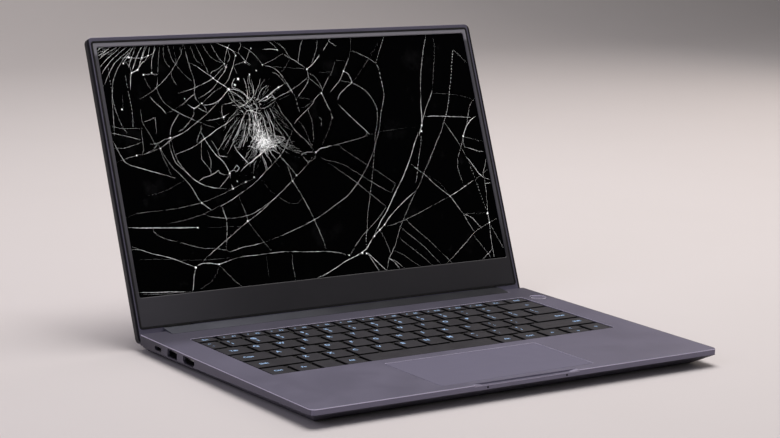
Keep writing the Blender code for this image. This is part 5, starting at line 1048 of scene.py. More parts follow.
IMPACT = (
    (1, (-59, 140), (-52.5, 137), (-48, 133), (-45, 129)),
    (0.7, (-58.5, 139.5), (-56.5, 132.5), (-52, 128), (-48, 121)),
    (0.8, (-54, 141.5), (-47.5, 138.5), (-42.5, 134), (-39, 132.5)),
    (1, (-50.5, 148), (-52, 146), (-54, 142.5), (-53, 140)),
    (1, (-43.5, 147.5), (-42.5, 143), (-42.5, 136), (-45, 129)),
    (0.8, (-39, 149.5), (-40.5, 144), (-40.5, 139.5), (-41, 134.5)),
    (0.9, (-37, 146), (-37, 138), (-39, 133), (-45, 129)),
    (1, (-45, 129), (-42, 123.5), (-44.5, 119.5)),
    (1, (-39, 132.5), (-38.5, 129), (-36.5, 125.5), (-40.5, 124), (-42, 123.5)),
    (1, (-41, 134.5), (-43, 131.5), (-45, 129), (-48.5, 127.5), (-54, 126.5)),
    (0.9, (-48, 121), (-45, 124), (-42, 123.5), (-38, 122), (-34.5, 121)),
    (0.9, (-53.5, 132), (-48, 128.5), (-43.5, 126.5), (-38.5, 129)),
    (1, (-36.5, 125.5), (-38.5, 121.5), (-39.5, 118), (-38.5, 116.5)),
    (1, (-36, 129), (-30, 132), (-23.5, 135), (-20, 137)),
    (1, (-35, 130), (-29, 130.5), (-23.5, 133), (-20.5, 131)),
    (0.8, (-23.5, 135), (-21.5, 133), (-20.5, 131)),
    (0.8, (-36, 129.5), (-33.5, 134.5), (-30, 139), (-25, 141.5)),
    (0.8, (-37, 134), (-34.5, 138.5), (-31.5, 142.5), (-30, 146.5)),
    (0.7, (-36.5, 125.5), (-30.5, 125), (-25, 127.5), (-20, 130)),
    (1, (-48, 121), (-50.5, 118), (-54, 112), (-58.5, 106), (-62.5, 102)),
    (0.8, (-49.5, 119.5), (-53, 113.5), (-56, 107.5), (-62, 100.5), (-67.5, 94)),
    (0.7, (-51, 119), (-55.5, 114), (-60, 109), (-64.5, 103.5), (-69, 98.5)),
    (0.7, (-52, 120), (-57, 116), (-62.5, 111), (-66.5, 106.5), (-72, 98.5)),
    (0.8, (-46.5, 117), (-49.5, 111), (-52, 105), (-55.5, 100), (-59.5, 97)),
    (0.6, (-54.5, 123), (-59.5, 120.5), (-64, 115.5), (-66.5, 110.5)),
    (0.9, (-44.5, 119.5), (-45.5, 114), (-47.5, 108), (-51.5, 102.5), (-54.5, 97)),
    (1, (-42, 118.5), (-42, 112), (-43.5, 106.5), (-43, 102.5)),
    (1, (-38.5, 116.5), (-38, 111), (-40, 107), (-39.5, 102)),
    (1, (-34.5, 121), (-33, 116.5), (-32.5, 110), (-32, 104.5), (-30, 100.5)),
    (0.9, (-34.5, 120), (-36.5, 115.5), (-35.5, 109), (-37, 103.5)),
    (0.9, (-27, 125), (-25, 121), (-24, 117)),
    (0.8, (-29.5, 124), (-28, 118.5), (-26.5, 112), (-26.5, 105.5), (-24.5, 100.5)),
    (0.8, (-31, 123), (-29.5, 117), (-28.5, 110.5), (-29.5, 104)),
    (0.6, (-23.5, 116), (-20.5, 111), (-16.5, 105.5), (-13, 97.5)),
    (0.6, (-24.5, 114.5), (-21, 106.5), (-18.5, 102.5)),
    (0.9, (-27.5, 105.5), (-24, 104), (-18.5, 102.5), (-21, 100), (-25, 99.5), (-28.5, 99.5)),
    (1, (-51, 86), (-49, 87), (-45, 89.5), (-40.5, 92), (-34.5, 96)),
    (0.9, (-52, 86), (-56, 91), (-59, 95), (-61, 101)),
    (0.8, (-37, 92.5), (-34, 88), (-33, 84.5)),
    (0.8, (-33, 93.5), (-30.5, 90), (-29, 88)),
    (0.8, (-31, 95), (-27.5, 92.5), (-25.5, 91.5)),
    (0.7, (-40, 91), (-39, 85.5), (-38.5, 80)),
    (0.6, (-45, 88), (-47.5, 85), (-49.5, 78)),
    (0.6, (-49.5, 94.5), (-52, 93), (-53.5, 89.5)),
)
DOTTED = (
    (0.9, (-136, 154), (-136, 143), (-135.5, 133), (-136, 123), (-137, 117)),
    (0.7, (-148, 160), (-148.3, 150), (-148, 142)),
    (0.8, (33, 18), (34, 25), (36.5, 32), (38, 38), (40, 45), (43, 52), (45, 58), (48, 66), (51, 75),
     (54, 85), (57, 93), (60, 98), (64, 106), (67, 116), (71, 124)),
    (1.0, (71, 124), (73, 130), (73, 140), (72.5, 150), (71, 154), (75, 161), (79, 168), (83, 173.8)),
    (0.8, (64.5, 120), (63.5, 113), (61, 106), (58.5, 100), (57, 95)),
    (0.9, (99, 97), (97, 90), (94, 83), (91, 75), (88, 66), (86, 62)),
    (1.0, (143, 161), (140, 152), (137, 142), (133, 131), (130, 122), (126, 113), (122, 106.5)),
    (0.7, (138, 77), (138.5, 70), (140.5, 62), (142, 53), (143.5, 45), (145, 38)),
    (0.8, (-3, 131), (-3, 125), (-2, 120)),
    (0.8, (5, 122), (6, 117), (6.8, 112), (6, 106), (5, 100), (3, 95)),
    (0.5, (24.5, 115), (20, 107), (15, 100), (11, 95)),
    (0.9, (24, 118), (24.5, 115)),
    (0.7, (13, 116), (15, 114), (13, 108)),
)
CHIPS = (
    (-108, 16.8, 1.5), (-89.5, 17.4, 0.9), (-57, 140, 1.5), (-48, 147, 1.4), (-51.5, 143, 1.2),
    (-52, 170, 0.9), (-46.5, 164, 0.9), (-40, 159, 0.8), (-80.5, 131, 0.8), (-65, 120.3, 0.9),
    (10.5, 151.8, 1.0), (19, 133.5, 1.0), (-16, 139.5, 1.1), (100, 100.5, 1.1), (101.5, 105, 1.0),
    (145.5, 34.5, 1.2), (145.7, 27.5, 0.8), (137, 94.5, 1.0), (28.5, 14.8, 1.1), (17, 14, 0.8),
    (32, 14, 0.8), (47, 30, 0.8), (41.5, 26, 0.8), (52, 33.5, 0.8), (114.5, 50, 0.7), (-61, 45.5, 0.9),
    (-18.7, 71, 0.7), (-14.5, 75, 0.7), (5, 90.5, 0.8), (-131, 155, 0.9), (-126, 157, 1.0),
    (-136, 162, 0.9), (-131, 166, 1.1), (-121, 165.3, 0.9), (-116, 166.7, 0.9), (-122, 153.3, 0.9),
    (-115.5, 154.5, 0.7), (-143, 130, 0.9), (-119, 101, 0.7), (-110, 108, 0.9), (-138, 97.3, 0.9),
    (-68.5, 80, 1.1), (-67.8, 69, 0.9), (-49.5, 76, 0.8), (-56.8, 73, 0.7), (-63.5, 74, 0.6),
    (-93.5, 135, 0.7), (-87.5, 127.7, 0.8), (-101, 44, 0.8), (-94.5, 61, 0.8), (41.5, 149, 0.8),
    (46.5, 140, 0.6), (24.5, 115, 0.6), (-57, 158.5, 0.7), (-56, 156, 0.8), (-68, 148.5, 0.8),
    (-65, 146, 0.7), (-60.5, 143, 0.7), (-33, 169, 0.6), (-11.5, 167, 0.8), (-26, 156.5, 0.7),
    (-32, 152.5, 0.7), (-27, 133, 1.0), (-38, 150, 0.9),
)

# The impact: a crushed core, a webbed core above it, and the spine between the two
CORE = (-37.0, 102.0)
WEB = (-39.0, 128.0)

# Crushed patches as (middle, spread, shards, longest shard, whiteness)
CRUSHED = (
    (CORE, (5.4, 4.4), 200, 6.0, 1.0),
    ((-35.0, 100.0), (6.0, 2.8), 110, 5.0, 1.0),
    (WEB, (3.6, 5.0), 26, 6.0, 1.0),
    ((-39.5, 112.0), (2.6, 4.6), 70, 4.5, 1.0),
    ((-151.0, 171.0), (2.4, 2.0), 9, 4.5, 0.8),
)

# Streaks side by side as (count, line of their starts, line of their ends, bow, whiteness)
STREAMS = (
    (7, ((-48, 122), (-50, 108)), ((-60, 105), (-67, 84)), 0.05, 0.6),
    (6, ((-50, 130), (-58, 112)), ((-62, 120), (-72, 92)), 0.04, 0.4),
    (6, ((-45, 124), (-33, 122)), ((-46, 107), (-32, 106)), 0.03, 0.8),
    (5, ((-31, 127), (-27, 114)), ((-24, 108), (-15, 101)), -0.10, 0.6),
    (5, ((-28, 129), (-24, 114)), ((-14, 117), (-7, 103)), 0.03, 0.5),
    (9, ((-27, 105), (-24, 97)), ((-8, 99), (4, 86)), -0.03, 0.6),
    (9, ((-46, 99), (-29, 99)), ((-52, 86), (-16, 90)), 0.02, 0.7),
    (5, ((-45, 100), (-42, 96)), ((-60, 84), (-53, 76)), 0.02, 0.6),
    (4, ((-35, 138), (-28, 128)), ((-26, 148), (-13, 139)), 0.01, 0.5),
    (4, ((-46, 134), (-48, 127)), ((-57, 138), (-58, 125)), 0.01, 0.6),
    (5, ((-150, 174), (-104, 174)), ((-154.5, 169), (-128, 158)), 0.10, 0.45),
)

# Points along a named crack, a dotted one before it is cut, a stroke or shard, and a streak
CRACK_POINTS = 44
DOTTED_POINTS = 60
STROKE_POINTS = 4
STREAK_POINTS = 8


def through(points, samples):
    """Points along the given ones: halfway between the straight lines and Catmull-Rom cubics."""
    given = np.asarray(points, float)
    ends = np.vstack((2 * given[0] - given[1], given, 2 * given[-1] - given[-2]))
    run = np.linspace(0, len(given) - 1, samples)
    start = np.minimum(run.astype(int), len(given) - 2)
    f = (run - start)[:, None]
    a, b, c, d = (ends[start + k] for k in range(4))
    cubic = 2 * b + (c - a) * f + (2 * a - 5 * b + 4 * c - d) * f ** 2 + (3 * b - a - 3 * c + d) * f ** 3
    return (cubic / 2 + b * (1 - f) + c * f) / 2


def ridges(paths, widths, lift=0.06):
    """Closed slivers along many paths on the panel, as points and faces.

    At each point of a path the section is a triangle: two feet at half the width to either
    side, sunk 0.02 mm in the glass, and a crest over the path.
    """
    paths = np.asarray(paths, float)
    count, samples = paths.shape[:2]
    along = np.gradient(paths, axis=1)
    along /= np.maximum(np.linalg.norm(along, axis=-1, keepdims=True), 1e-9)
    across = np.stack((-along[..., 1], along[..., 0]), axis=-1) * widths[..., None] / 2
    left = paths + across
    right = paths - across
    crest = np.minimum(widths * 0.3, lift)
    points = np.stack((
        on_panel(left[..., 0], left[..., 1], -0.02),
        on_panel(right[..., 0], right[..., 1], -0.02),
        on_panel(paths[..., 0], paths[..., 1], crest)), axis=2)
    return points.reshape(-1, 3), tube_faces(count, samples, 3)


def tapered(widths, samples, pick):
    """Widths along cracks: thin at both ends and uneven between."""
    run = np.linspace(0, 1, samples)
    shape = np.clip(np.minimum(run, 1 - run) * 8, 0.35, 1)
    return np.asarray(widths)[:, None] * shape[None, :] * pick.uniform(0.35, 1.65, (len(widths), samples))


def dashes(path, spacing, pick):
    """Cut a path into short strokes about a spacing apart, as one array of strokes."""
    length = np.linalg.norm(np.diff(path, axis=0), axis=1).sum()
    count = max(2, int(length / spacing))
    starts = (np.arange(count) + pick.uniform(0, 0.25, count)) / count
    run = starts[:, None] + np.linspace(0, 0.55, STROKE_POINTS)[None, :] / count
    place = np.clip(run, 0, 1) * (len(path) - 1)
    low = np.minimum(place.astype(int), len(path) - 2)
    part = (place - low)[..., None]
    return path[low] * (1 - part) + path[low + 1] * part


def inside_panel(points, margin=0.3):
    """Hold points on the visible panel."""
    half = PANEL_SIZE[0] / 2 - margin
    points[..., 0] = np.clip(points[..., 0], -half, half)
    points[..., 1] = np.clip(points[..., 1], margin, PANEL_SIZE[1] - margin)
    return points


def streak_paths(count, pick):
    """Fine cracks that leave the spine between the two cores, as paths.

    Each starts at a random height on the spine and runs outwards; low ones point down and to
    the sides, high ones up and to the sides, and all bend a little.
    """
    share = pick.uniform(0, 1, count)
    spine = np.array(CORE) + (np.array(WEB) - CORE) * share[:, None]
    tilt = np.radians(-115 + 230 * share + pick.normal(0, 38, count))
    side = pick.choice([-1.0, 1.0], count)
    angle = np.where(side > 0, tilt * 0.78, math.pi - tilt * 0.78)
    start = pick.uniform(1.0, 9.0, count)
    length = pick.gamma(3.0, 3.4, count) + 4
    bend = pick.normal(0, 0.25, count)
    run = np.linspace(0, 1, STREAK_POINTS)
    reach = start[:, None] + length[:, None] * run
    heading = angle[:, None] + bend[:, None] * run ** 2
    jitter = pick.normal(0, 0.16, (count, STREAK_POINTS, 2))
    way = np.stack((np.cos(heading), np.sin(heading)), axis=-1) * reach[..., None]
    fade = np.clip(1.15 - (start + length) / 34, 0.3, 1)
    return inside_panel(spine[:, None, :] + way + jitter), fade


def shard_paths(centre, spread, count, longest, pick):
    """Short straight cracks, each turned at random, that cross one another in a crushed patch."""
    middle = pick.normal(0, 1, (count, 2)) * spread + centre
    angle = pick.uniform(0, math.pi, count)
    length = pick.uniform(0.25, 1, count) * longest
    run = np.linspace(-0.5, 0.5, STROKE_POINTS)
    heading = np.stack((np.cos(angle), np.sin(angle)), -1)
    points = middle[:, None, :] + heading[:, None, :] * length[:, None, None] * run[None, :, None]
    return inside_panel(points + pick.normal(0, 0.12, points.shape))


def parallel_paths(count, starts, ends, bow, pick):
    """Streaks that lie side by side: start and end slide along two lines, each with a bow."""
    share = (np.arange(count) + pick.uniform(0.15, 0.85, count)) / count
    first = np.array(starts[0]) + (np.array(starts[1]) - starts[0]) * share[:, None]
    last = np.array(ends[0]) + (np.array(ends[1]) - ends[0]) * np.clip(
        share + pick.normal(0, 0.035, count), 0, 1)[:, None]
    run = np.linspace(0, 1, STREAK_POINTS)[None, :, None]
    cut = pick.uniform(0.55, 1, count)[:, None, None]
    line = first[:, None, :] + (last - first)[:, None, :] * run * cut
    side = np.stack((-(last - first)[:, 1], (last - first)[:, 0]), -1)
    line += side[:, None, :] * np.sin(run * math.pi) * bow
    return inside_panel(line + pick.normal(0, 0.10, line.shape))


def crack_pieces(settings, material):
    """All cracks of the display as one piece of slim closed slivers."""
    pick = np.random.RandomState(settings.crack_seed)
    wide = settings.crack_width / MM
    groups = []
    named = CORNER_FAN + LEFT_SIDE + LOWER_LEFT + LONG_DIAGONALS + RIGHT_SIDE + UPPER_MIDDLE + IMPACT
    lines = np.array([through(item[1:], CRACK_POINTS) for item in named])
    lines += pick.normal(0, 0.05, lines.shape)
    white = np.array([item[0] for item in named])
    groups.append((inside_panel(lines), white, (0.15 + white ** 1.6) * wide))
    for item in DOTTED:
        strokes = dashes(through(item[1:], DOTTED_POINTS), 2.3, pick)
        white = np.full(len(strokes), item[0])
        groups.append((strokes, white, white * wide * 1.1))
    fine, fade = streak_paths(settings.streaks, pick)
    groups.append((fine, fade, fade * wide * 0.42))
    for centre, spread, count, longest, strength in CRUSHED:
        white = np.full(count, strength)
        groups.append((shard_paths(centre, spread, count, longest, pick), white, white * wide * 0.56))
    for count, starts, ends, bow, strength in STREAMS:
        white = np.full(count, strength)
        side = parallel_paths(count, starts, ends, bow, pick)
        groups.append((side, white, (0.3 + white) * wide * 0.5))

    parts = []
    whiteness = []
    for paths, white, widths in groups:
        parts.append(ridges(paths, tapered(widths, paths.shape[1], pick)))
        whiteness.append(np.repeat(white, paths.shape[1] * 3))
    chips, sides = chip_form(pick)
    parts.append((chips, sides))
    whiteness.append(np.ones(len(chips)))
    points, faces = joined(parts)
    piece = mesh_object(
        "display_cracks", points, faces, material, "lid", smooth=False)
    layer = piece.data.attributes.new("whiteness", "FLOAT", "POINT")
    layer.data.foreach_set("value", np.concatenate(whiteness).astype(np.float32))


def chip_form(pick):
    """Crushed chips where cracks meet: uneven stars of ten points, sunk at the rim, raised inside."""
    chips = np.array(CHIPS, float)
    steps = 10
    turn = np.linspace(0, 2 * math.pi, steps, endpoint=False)
    star = np.where(np.arange(steps) % 2, 0.42, 1.0)
    reach = chips[:, 2, None] * star * pick.uniform(0.7, 1.2, (len(chips), steps))
    rings = []
    for share, lift in ((0.0, -0.03), (1.0, -0.03), (0.45, 0.09), (0.0, 0.12)):
        x = chips[:, 0, None] + reach * share * np.cos(turn)
        y = chips[:, 1, None] + reach * share * np.sin(turn)
        rings.append(on_panel(x, y, lift))
    points = np.stack(rings, axis=1).reshape(-1, 3)
    return points, tube_faces(len(chips), len(rings), steps, open_ends=True)


def broken_panel(material, settings):
    """The glass of the display, broken into shards that each lean a little another way.

    The front is a grid; each point belongs to the nearest of many shard middles and is lifted
    by that shard's own slope, up to a twentieth of a millimetre, with a dent at the impact.
    """
    pick = np.random.RandomState(settings.crack_seed + 1)
    half = PANEL_SIZE[0] / 2 + PANEL_MARGIN
    across = np.linspace(-half, half, 250)
    up = np.linspace(-PANEL_LEDGE, PANEL_SIZE[1] + PANEL_MARGIN, 142)
    x, y = np.meshgrid(across, up)
    far = pick.uniform(0, 1, (70, 2)) * (2 * half, PANEL_SIZE[1]) - (half, 0)
    near = pick.normal(0, 1, (60, 2)) * (26, 22) + CORE
    middles = np.vstack((far, near))
    gap = (x[..., None] - middles[:, 0]) ** 2 + (y[..., None] - middles[:, 1]) ** 2
    shard = gap.argmin(axis=-1)
    slope = pick.normal(0, 0.0022, (len(middles), 2))
    lift = (x - middles[shard, 0]) * slope[shard, 0] + (y - middles[shard, 1]) * slope[shard, 1]
    lift = np.clip(lift, -0.05, 0.0)
    edge = np.minimum.reduce((x + half, half - x, y - up[0], up[-1] - y))
    lift = lift * np.clip(edge / 3, 0, 1)
    lift -= 0.10 * np.exp(-((x - CORE[0]) ** 2 + (y - CORE[1]) ** 2) / 9 ** 2)
    front = on_panel(x, y, lift)
    back = on_panel(x, y, np.full_like(x, -PANEL_THICKNESS))
    rows, columns = x.shape
    index = np.arange(rows * columns).reshape(rows, columns)
    quads = np.stack((index[:-1, :-1], index[:-1, 1:], index[1:, 1:], index[1:, :-1]), -1).reshape(-1, 4)
    rim = np.concatenate((index[0, :], index[1:, -1], index[-1, -2::-1], index[-2:0:-1, 0]))
    rear = rows * columns + np.arange(len(rim))
    sides = np.stack((rim, rear, np.roll(rear, -1), np.roll(rim, -1)), axis=-1)
    points = np.vstack((front.reshape(-1, 3), back.reshape(-1, 3)[rim]))
    faces = quads.tolist() + sides.tolist() + [rear[::-1].tolist()]
    piece = mesh_object("broken_panel", points, faces, material, "lid")
    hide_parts("lcd_glass")


def turned_points(profile, steps, lobes=None):
    """Points of a turned form about +Z: each (radius, level) of the profile swept round.

    Where lobes is given, a radius grows and shrinks six times round, by that ring's share.
    """
    profile = np.asarray(profile, float)
    turn = np.linspace(0, 2 * math.pi, steps, endpoint=False)
    waves = np.zeros(len(profile)) if lobes is None else np.asarray(lobes, float)
    radius = profile[:, 0, None] * (1 + waves[:, None] * np.cos(6 * turn)[None, :])
    level = np.broadcast_to(profile[:, 1, None], radius.shape)
    return np.stack((radius * np.cos(turn), radius * np.sin(turn), level), axis=-1)


class LAPTOP_OT_stage(bpy.types.Operator):
    """Lay the pale sweep, hang the soft lamps and set the camera"""

    bl_idname = "laptop.stage"
    bl_label = "Stage"

    def execute(self, context):
        """Build the stage from the scene's settings."""
        settings = context.scene.laptop_stage
        self.sweep(settings)
        self.lamps(context, settings)
        self.camera(context, settings)
        context.scene.view_settings.view_transform = "Standard"
        return {"FINISHED"}

    def sweep(self, settings):
        """Floor and backdrop in one sheet: flat, then a quarter circle, then upright."""
        bend = np.linspace(-math.pi / 2, 0, 24)
        radius = 900.0
        back = 1500.0
        y = np.concatenate(([-2600.0], back + radius * np.cos(bend), [back + radius]))
        z = np.concatenate(([0.0], radius + radius * np.sin(bend), [3200.0]))
        x = np.array([-4200.0, 4200.0])
        points = np.stack((
            np.broadcast_to(x[:, None], (2, len(y))), np.broadcast_to(y, (2, len(y))),
            np.broadcast_to(z, (2, len(y)))), axis=-1)
        index = np.arange(2 * len(y)).reshape(2, len(y))
        faces = np.stack((index[0, :-1], index[1, :-1], index[1, 1:], index[0, 1:]), -1)
        finish = Finish("plain_paper", settings.floor, 0.9)
        finish.patches(220, 3, 0.4, 0.7, 0.25, "DFDAD9")
        mesh = bpy.data.meshes.new("sweep")
        mesh.from_pydata((points.reshape(-1, 3) * MM).tolist(), [], faces.tolist())
        mesh.materials.append(finish.material)
        mesh.shade_smooth()
        sheet = bpy.data.objects.new("sweep", mesh)
        bpy.context.scene.collection.objects.link(sheet)

    def lamps(self, context, settings):
        """A large lamp above and behind, a cool one on the left and a warm one on the right."""
        for name, place, size, power, code in (
                ("key_lamp", (0.30, 0.26, 1.75), 1.3, settings.key_light, "FFFAF8"),
                ("cool_lamp", (-1.6, -0.35, 0.9), 1.0, settings.cool_light, "E9E6FF"),
                ("warm_lamp", (1.5, 0.5, 0.8), 1.0, settings.warm_light, "FFF1E6")):
            lamp = bpy.data.lights.new(name, "AREA")
            lamp.shape = "SQUARE"
            lamp.size = size
            lamp.energy = power
            lamp.color = linear(code)[:3]
            item = bpy.data.objects.new(name, lamp)
            item.location = place
            aim = Vector((0, 0, 0.06)) - Vector(place)
            item.rotation_euler = aim.to_track_quat("-Z", "Y").to_euler()
            context.scene.collection.objects.link(item)
        world = bpy.data.worlds.new("studio")
        world.use_nodes = True
        backdrop = world.node_tree.nodes["Background"]
        backdrop.inputs["Color"].default_value = linear("F4F2F3")
        backdrop.inputs["Strength"].default_value = settings.daylight
        context.scene.world = world

    def camera(self, context, settings):
        """Camera at its place, turn and roll."""
        lens = bpy.data.cameras.new("camera")
        lens.sensor_width = 36
        lens.lens = settings.lens
        lens.clip_start = 0.05
        lens.clip_end = 30
        az, el, roll = settings.azimuth, settings.elevation, settings.roll
        back = Vector((math.sin(az) * math.cos(el), -math.cos(az) * math.cos(el), math.sin(el)))
        right = Vector((math.cos(az), math.sin(az), 0))
        up = back.cross(right)
        turned_right = right * math.cos(roll) + up * math.sin(roll)
        turned_up = up * math.cos(roll) - right * math.sin(roll)
        item = bpy.data.objects.new("camera", lens)
        item.matrix_world = Matrix.Translation(CAMERA_PLACE) @ Matrix(
            (turned_right, turned_up, back)).transposed().to_4x4()
        context.scene.collection.objects.link(item)
        context.scene.camera = item


class LAPTOP_OT_housing(bpy.types.Operator):
    """Finish the base shells, the lid's back, the feet and the cover screws"""

    bl_idname = "laptop.housing"
    bl_label = "Housing"

    def execute(self, context):
        """Dress the shells and add the screws."""
        settings = context.scene.laptop_finish
        plain = blasted_aluminium("blasted_aluminium_shell", settings, False)
        # Painted shade darkens the lower shell all over, a little unevenly
        plain.tint(plain.wander(70, 2, 0.3, 0.7, 0.62, 0.72), linear("2E2B2E"))
        lid = blasted_aluminium("blasted_aluminium_lid", settings, False)
        # Painted shade: the lid's side walls are near black
        lid.tint(lid.product(lid.outside(HALF - 1.6), 0.95), linear("101014"))
        merged_copy(
            "deck_shell", "top_case", deck_finish(settings), 21,
            (DECK, DECK - NOTCH_DEPTH))
        merged_copy("floor_shell", "bottom_cover", plain.material, 21)
        merged_copy("lid_shell", "lid_back_cover", lid.material, 40)
        rubber = rubber_finish("silicone_feet", "1C1B1D")
        for node in ("rear_foot", "front_foot_left", "front_foot_right"):
            merged_copy(node + "_skin", node, rubber, 40)
        self.screws()
        return {"FINISHED"}

    def screws(self):
        """Cover screws: a low dome with a six-lobed recess, turned from one profile."""
        side = HALF - 22
        rows = (38.0, 96.0, 193.4)
        places = [(x, y) for y in rows for x in (-side, 0, side) if x or y != rows[1]]
        profile = [
            (0, -0.5), (2.2, -0.5), (2.2, -0.1), (2.0, 0.05), (1.2, 0.14), (1.0, 0.14),
            (0.95, -0.35), (0, -0.35)]
        lobes = [0, 0, 0, 0, 0, 0.16, 0.16, 0]
        steps = 36
        form = turned_points(profile, steps, lobes) * (1, -1, -1)
        forms = np.array([form + (x, FRONT + y, UNDERSIDE + 0.4) for x, y in places])
        faces = tube_faces(len(places), len(profile), steps, open_ends=True)
        piece = mesh_object(
            "cover_screws", forms, faces, steel_finish("black_plated_screws", "4A494C", 0.34),
            "base")
        merge(piece)


class LAPTOP_OT_keyboard(bpy.types.Operator):
    """Make the key caps with their print, each moving key on its own body"""

    bl_idname = "laptop.keyboard"
    bl_label = "Keyboard"

    def execute(self, context):
        """Build caps, stems, legends and the plate under them."""
        sizes = context.scene.laptop_sizes
        settings = context.scene.laptop_finish
        self.paint = key_finish(settings)
        self.ink = legend_finish(settings)
        self.top = DECK - CAP_DROP
        self.dish = sizes.cap_dish / MM
        self.rounding = sizes.cap_round / MM
        self.size = sizes.legend_height / MM * TYPE_TO_LETTER
        self.printer = Printer()
        table = key_table()
        self.caps("letter_keys", [row for row in table if row[0] is None], "base", None)
        for row in table:
            if row[0] is not None:
                self.caps(row[0] + "_cap", [row], NODES[row[0]]["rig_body"], row[0])
        self.plate()
        return {"FINISHED"}

    def caps(self, name, rows, body, node):
        """One piece of caps with stems, and one of their print."""
        tiles = np.array([row[2:6] for row in rows])
        profile = cap_profile(self.top, CAP_THICKNESS, self.rounding, self.dish, 0.12)
        points = tile_points(tiles, CAP_CORNER, profile)
        faces = tube_faces(len(tiles), len(profile), points.shape[2], open_ends=True)
        stems = tiles.copy()
        stems[:, 2:] = np.minimum(STEM_HALF, stems[:, 3:] - 1)
        under = self.top - CAP_THICKNESS
        foot, head = under - STEM_REACH, under + 0.1
        stem_profile = [(0, foot, 0), (0, foot, 1), (0, head, 1), (0, head, 0)]
        stem_points = tile_points(stems, 0.3, stem_profile, 1)
        stem_faces = tube_faces(len(tiles), len(stem_profile), stem_points.shape[2], open_ends=True)
        points, faces = joined((
            (points.reshape(-1, 3), faces), (stem_points.reshape(-1, 3), stem_faces)))
        piece = mesh_object(name, points, faces, self.paint, body)
        merge(piece)
        if node:
            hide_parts(node)
        words = []
        for _, labels, x, y, half, depth in rows:
            words += cap_words(labels, x, y, half, depth, node, self.size)
        if not words:
            return

        def surface(x, y):
            """Level of the dished tops under printed points: the nearest cap's parabola."""
            across = (x[:, None] - tiles[:, 0]) / tiles[:, 2]
            along = (y[:, None] - tiles[:, 1]) / tiles[:, 3]
            own = tiles[np.hypot(across, along).argmin(1)]
            inner = self.rounding + 0.12
            reach = np.maximum(
                np.abs(x - own[:, 0]) / (own[:, 2] - inner), np.abs(y - own[:, 1]) / (own[:, 3] - inner))
            return self.top - self.dish * np.clip(1 - reach ** 2, 0, 1) + 0.02
        found, sides = self.printer.sheet(words, surface)
        mesh_object(name + "_print", found, sides, self.ink, body, smooth=False)

    def plate(self):
        """The plate under the keys: the CAD plate cut off just above its upper face and closed."""
        mesh, form = copied_form("keyboard_plate")
        level = (DECK - CAP_DROP - CAP_THICKNESS - PLATE_BELOW_CAP) * MM
        geometry = list(form.verts) + list(form.edges) + list(form.faces)
        bmesh.ops.bisect_plane(
            form, geom=geometry, plane_co=(0, 0, level), plane_no=(0, 0, 1), clear_outer=True)
        bmesh.ops.holes_fill(form, edges=[e for e in form.edges if e.is_boundary], sides=0)
        form.to_mesh(mesh)
        form.free()
        mesh.materials.clear()
        mesh.materials.append(film_finish())
        piece = bpy.data.objects.new("key_plate", mesh)
        bpy.context.scene.collection.objects.link(piece)
        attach(piece, "base")
        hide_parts("keyboard_plate")


class LAPTOP_OT_touch_parts(bpy.types.Operator):
    """Make the touchpad, the power button and its lamp"""

    bl_idname = "laptop.touch_parts"
    bl_label = "Touchpad and button"

    def execute(self, context):
        """Build the touchpad and the button in their openings."""
        settings = context.scene.laptop_finish
        low, high = place_of("touchpad")
        middle = (low + high) / 2
        half = (high - low) / 2
        top = high[2]
        profile = [
            (0.15, low[2], 0), (0.15, low[2], 1), (0, low[2] + 0.15, 1), (0, top - 0.18, 1),
            (0.07, top - 0.05, 1), (0.2, top, 1), (0.4, top, 1), (0.4, top, 0)]
        points = tile_points([(middle[0], middle[1], half[0], half[1])], 1.2, profile, 8)
        faces = tube_faces(1, len(profile), points.shape[2], open_ends=True)
        pad = mesh_object("touchpad_glass", points, faces, touchpad_finish(), "touchpad_plate")
        merge(pad)
        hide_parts("touchpad")
        self.button(settings)
        return {"FINISHED"}

    def button(self, settings):
        """Power button: a spun disc with a painted highlight on its chamfer, and a pin-hole lamp beside
        it.
        """
        low, high = place_of("power_button")
        middle = (low + high) / 2
        top = high[2]
        flange = (high[0] - low[0]) / 2
        disc = flange - 0.9
        step = low[2] + 0.6
        profile = [
            (0, low[2]), (flange, low[2]), (flange, step), (disc, step), (disc, top - 0.4),
            (disc - 0.6, top), (disc - 1.0, top - 0.02), (disc * 0.5, top - 0.03), (0, top - 0.03)]
        steps = 72
        points = turned_points(profile, steps) + (middle[0], middle[1], 0)
        faces = tube_faces(1, len(profile), steps, open_ends=True)
        made = Finish("spun_aluminium_button", settings.aluminium, 0.46, 0.55)
        centre = Vector((middle[0] * MM, middle[1] * MM, 0))
        shifted = made.add("Mapping", {"Vector": made.place, "Location": -centre})
        form = {"Vector": shifted[0], "Scale": per_metre(5.0), "Distortion": 0.6, "Detail": 2.0}
        rings = made.add("TexWave", form, wave_type="RINGS", rings_direction="Z")
        made.relief(rings[0], 0.003, 0.4)
        # Painted highlight on the chamfer round the disc
        chamfer_highlight = made.between("Z", top - 0.5, top - 0.04)
        made.tint(made.product(chamfer_highlight, 0.95), linear("EDEAF6"))
        button = mesh_object("power_button_disc", points, faces, made.material, "power_key")
        merge(button)
        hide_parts("power_button")
        lamp_profile = [(0, -0.25), (0.8, -0.25), (0.8, 0.0), (0.6, 0.02), (0, 0.01)]
        lamp_points = turned_points(lamp_profile, 20) + (HALF - 14.4, AXIS_Y - 26.4, DECK)
        dark = Finish("smoked_lamp_lens", linear("0C0C0E"), 0.25)
        dark.dull(0.8, 2, 0.2, 0.35)
        lamp = mesh_object(
            "button_lamp", lamp_points, tube_faces(1, len(lamp_profile), 20, open_ends=True),
            dark.material, "base")
        merge(lamp)


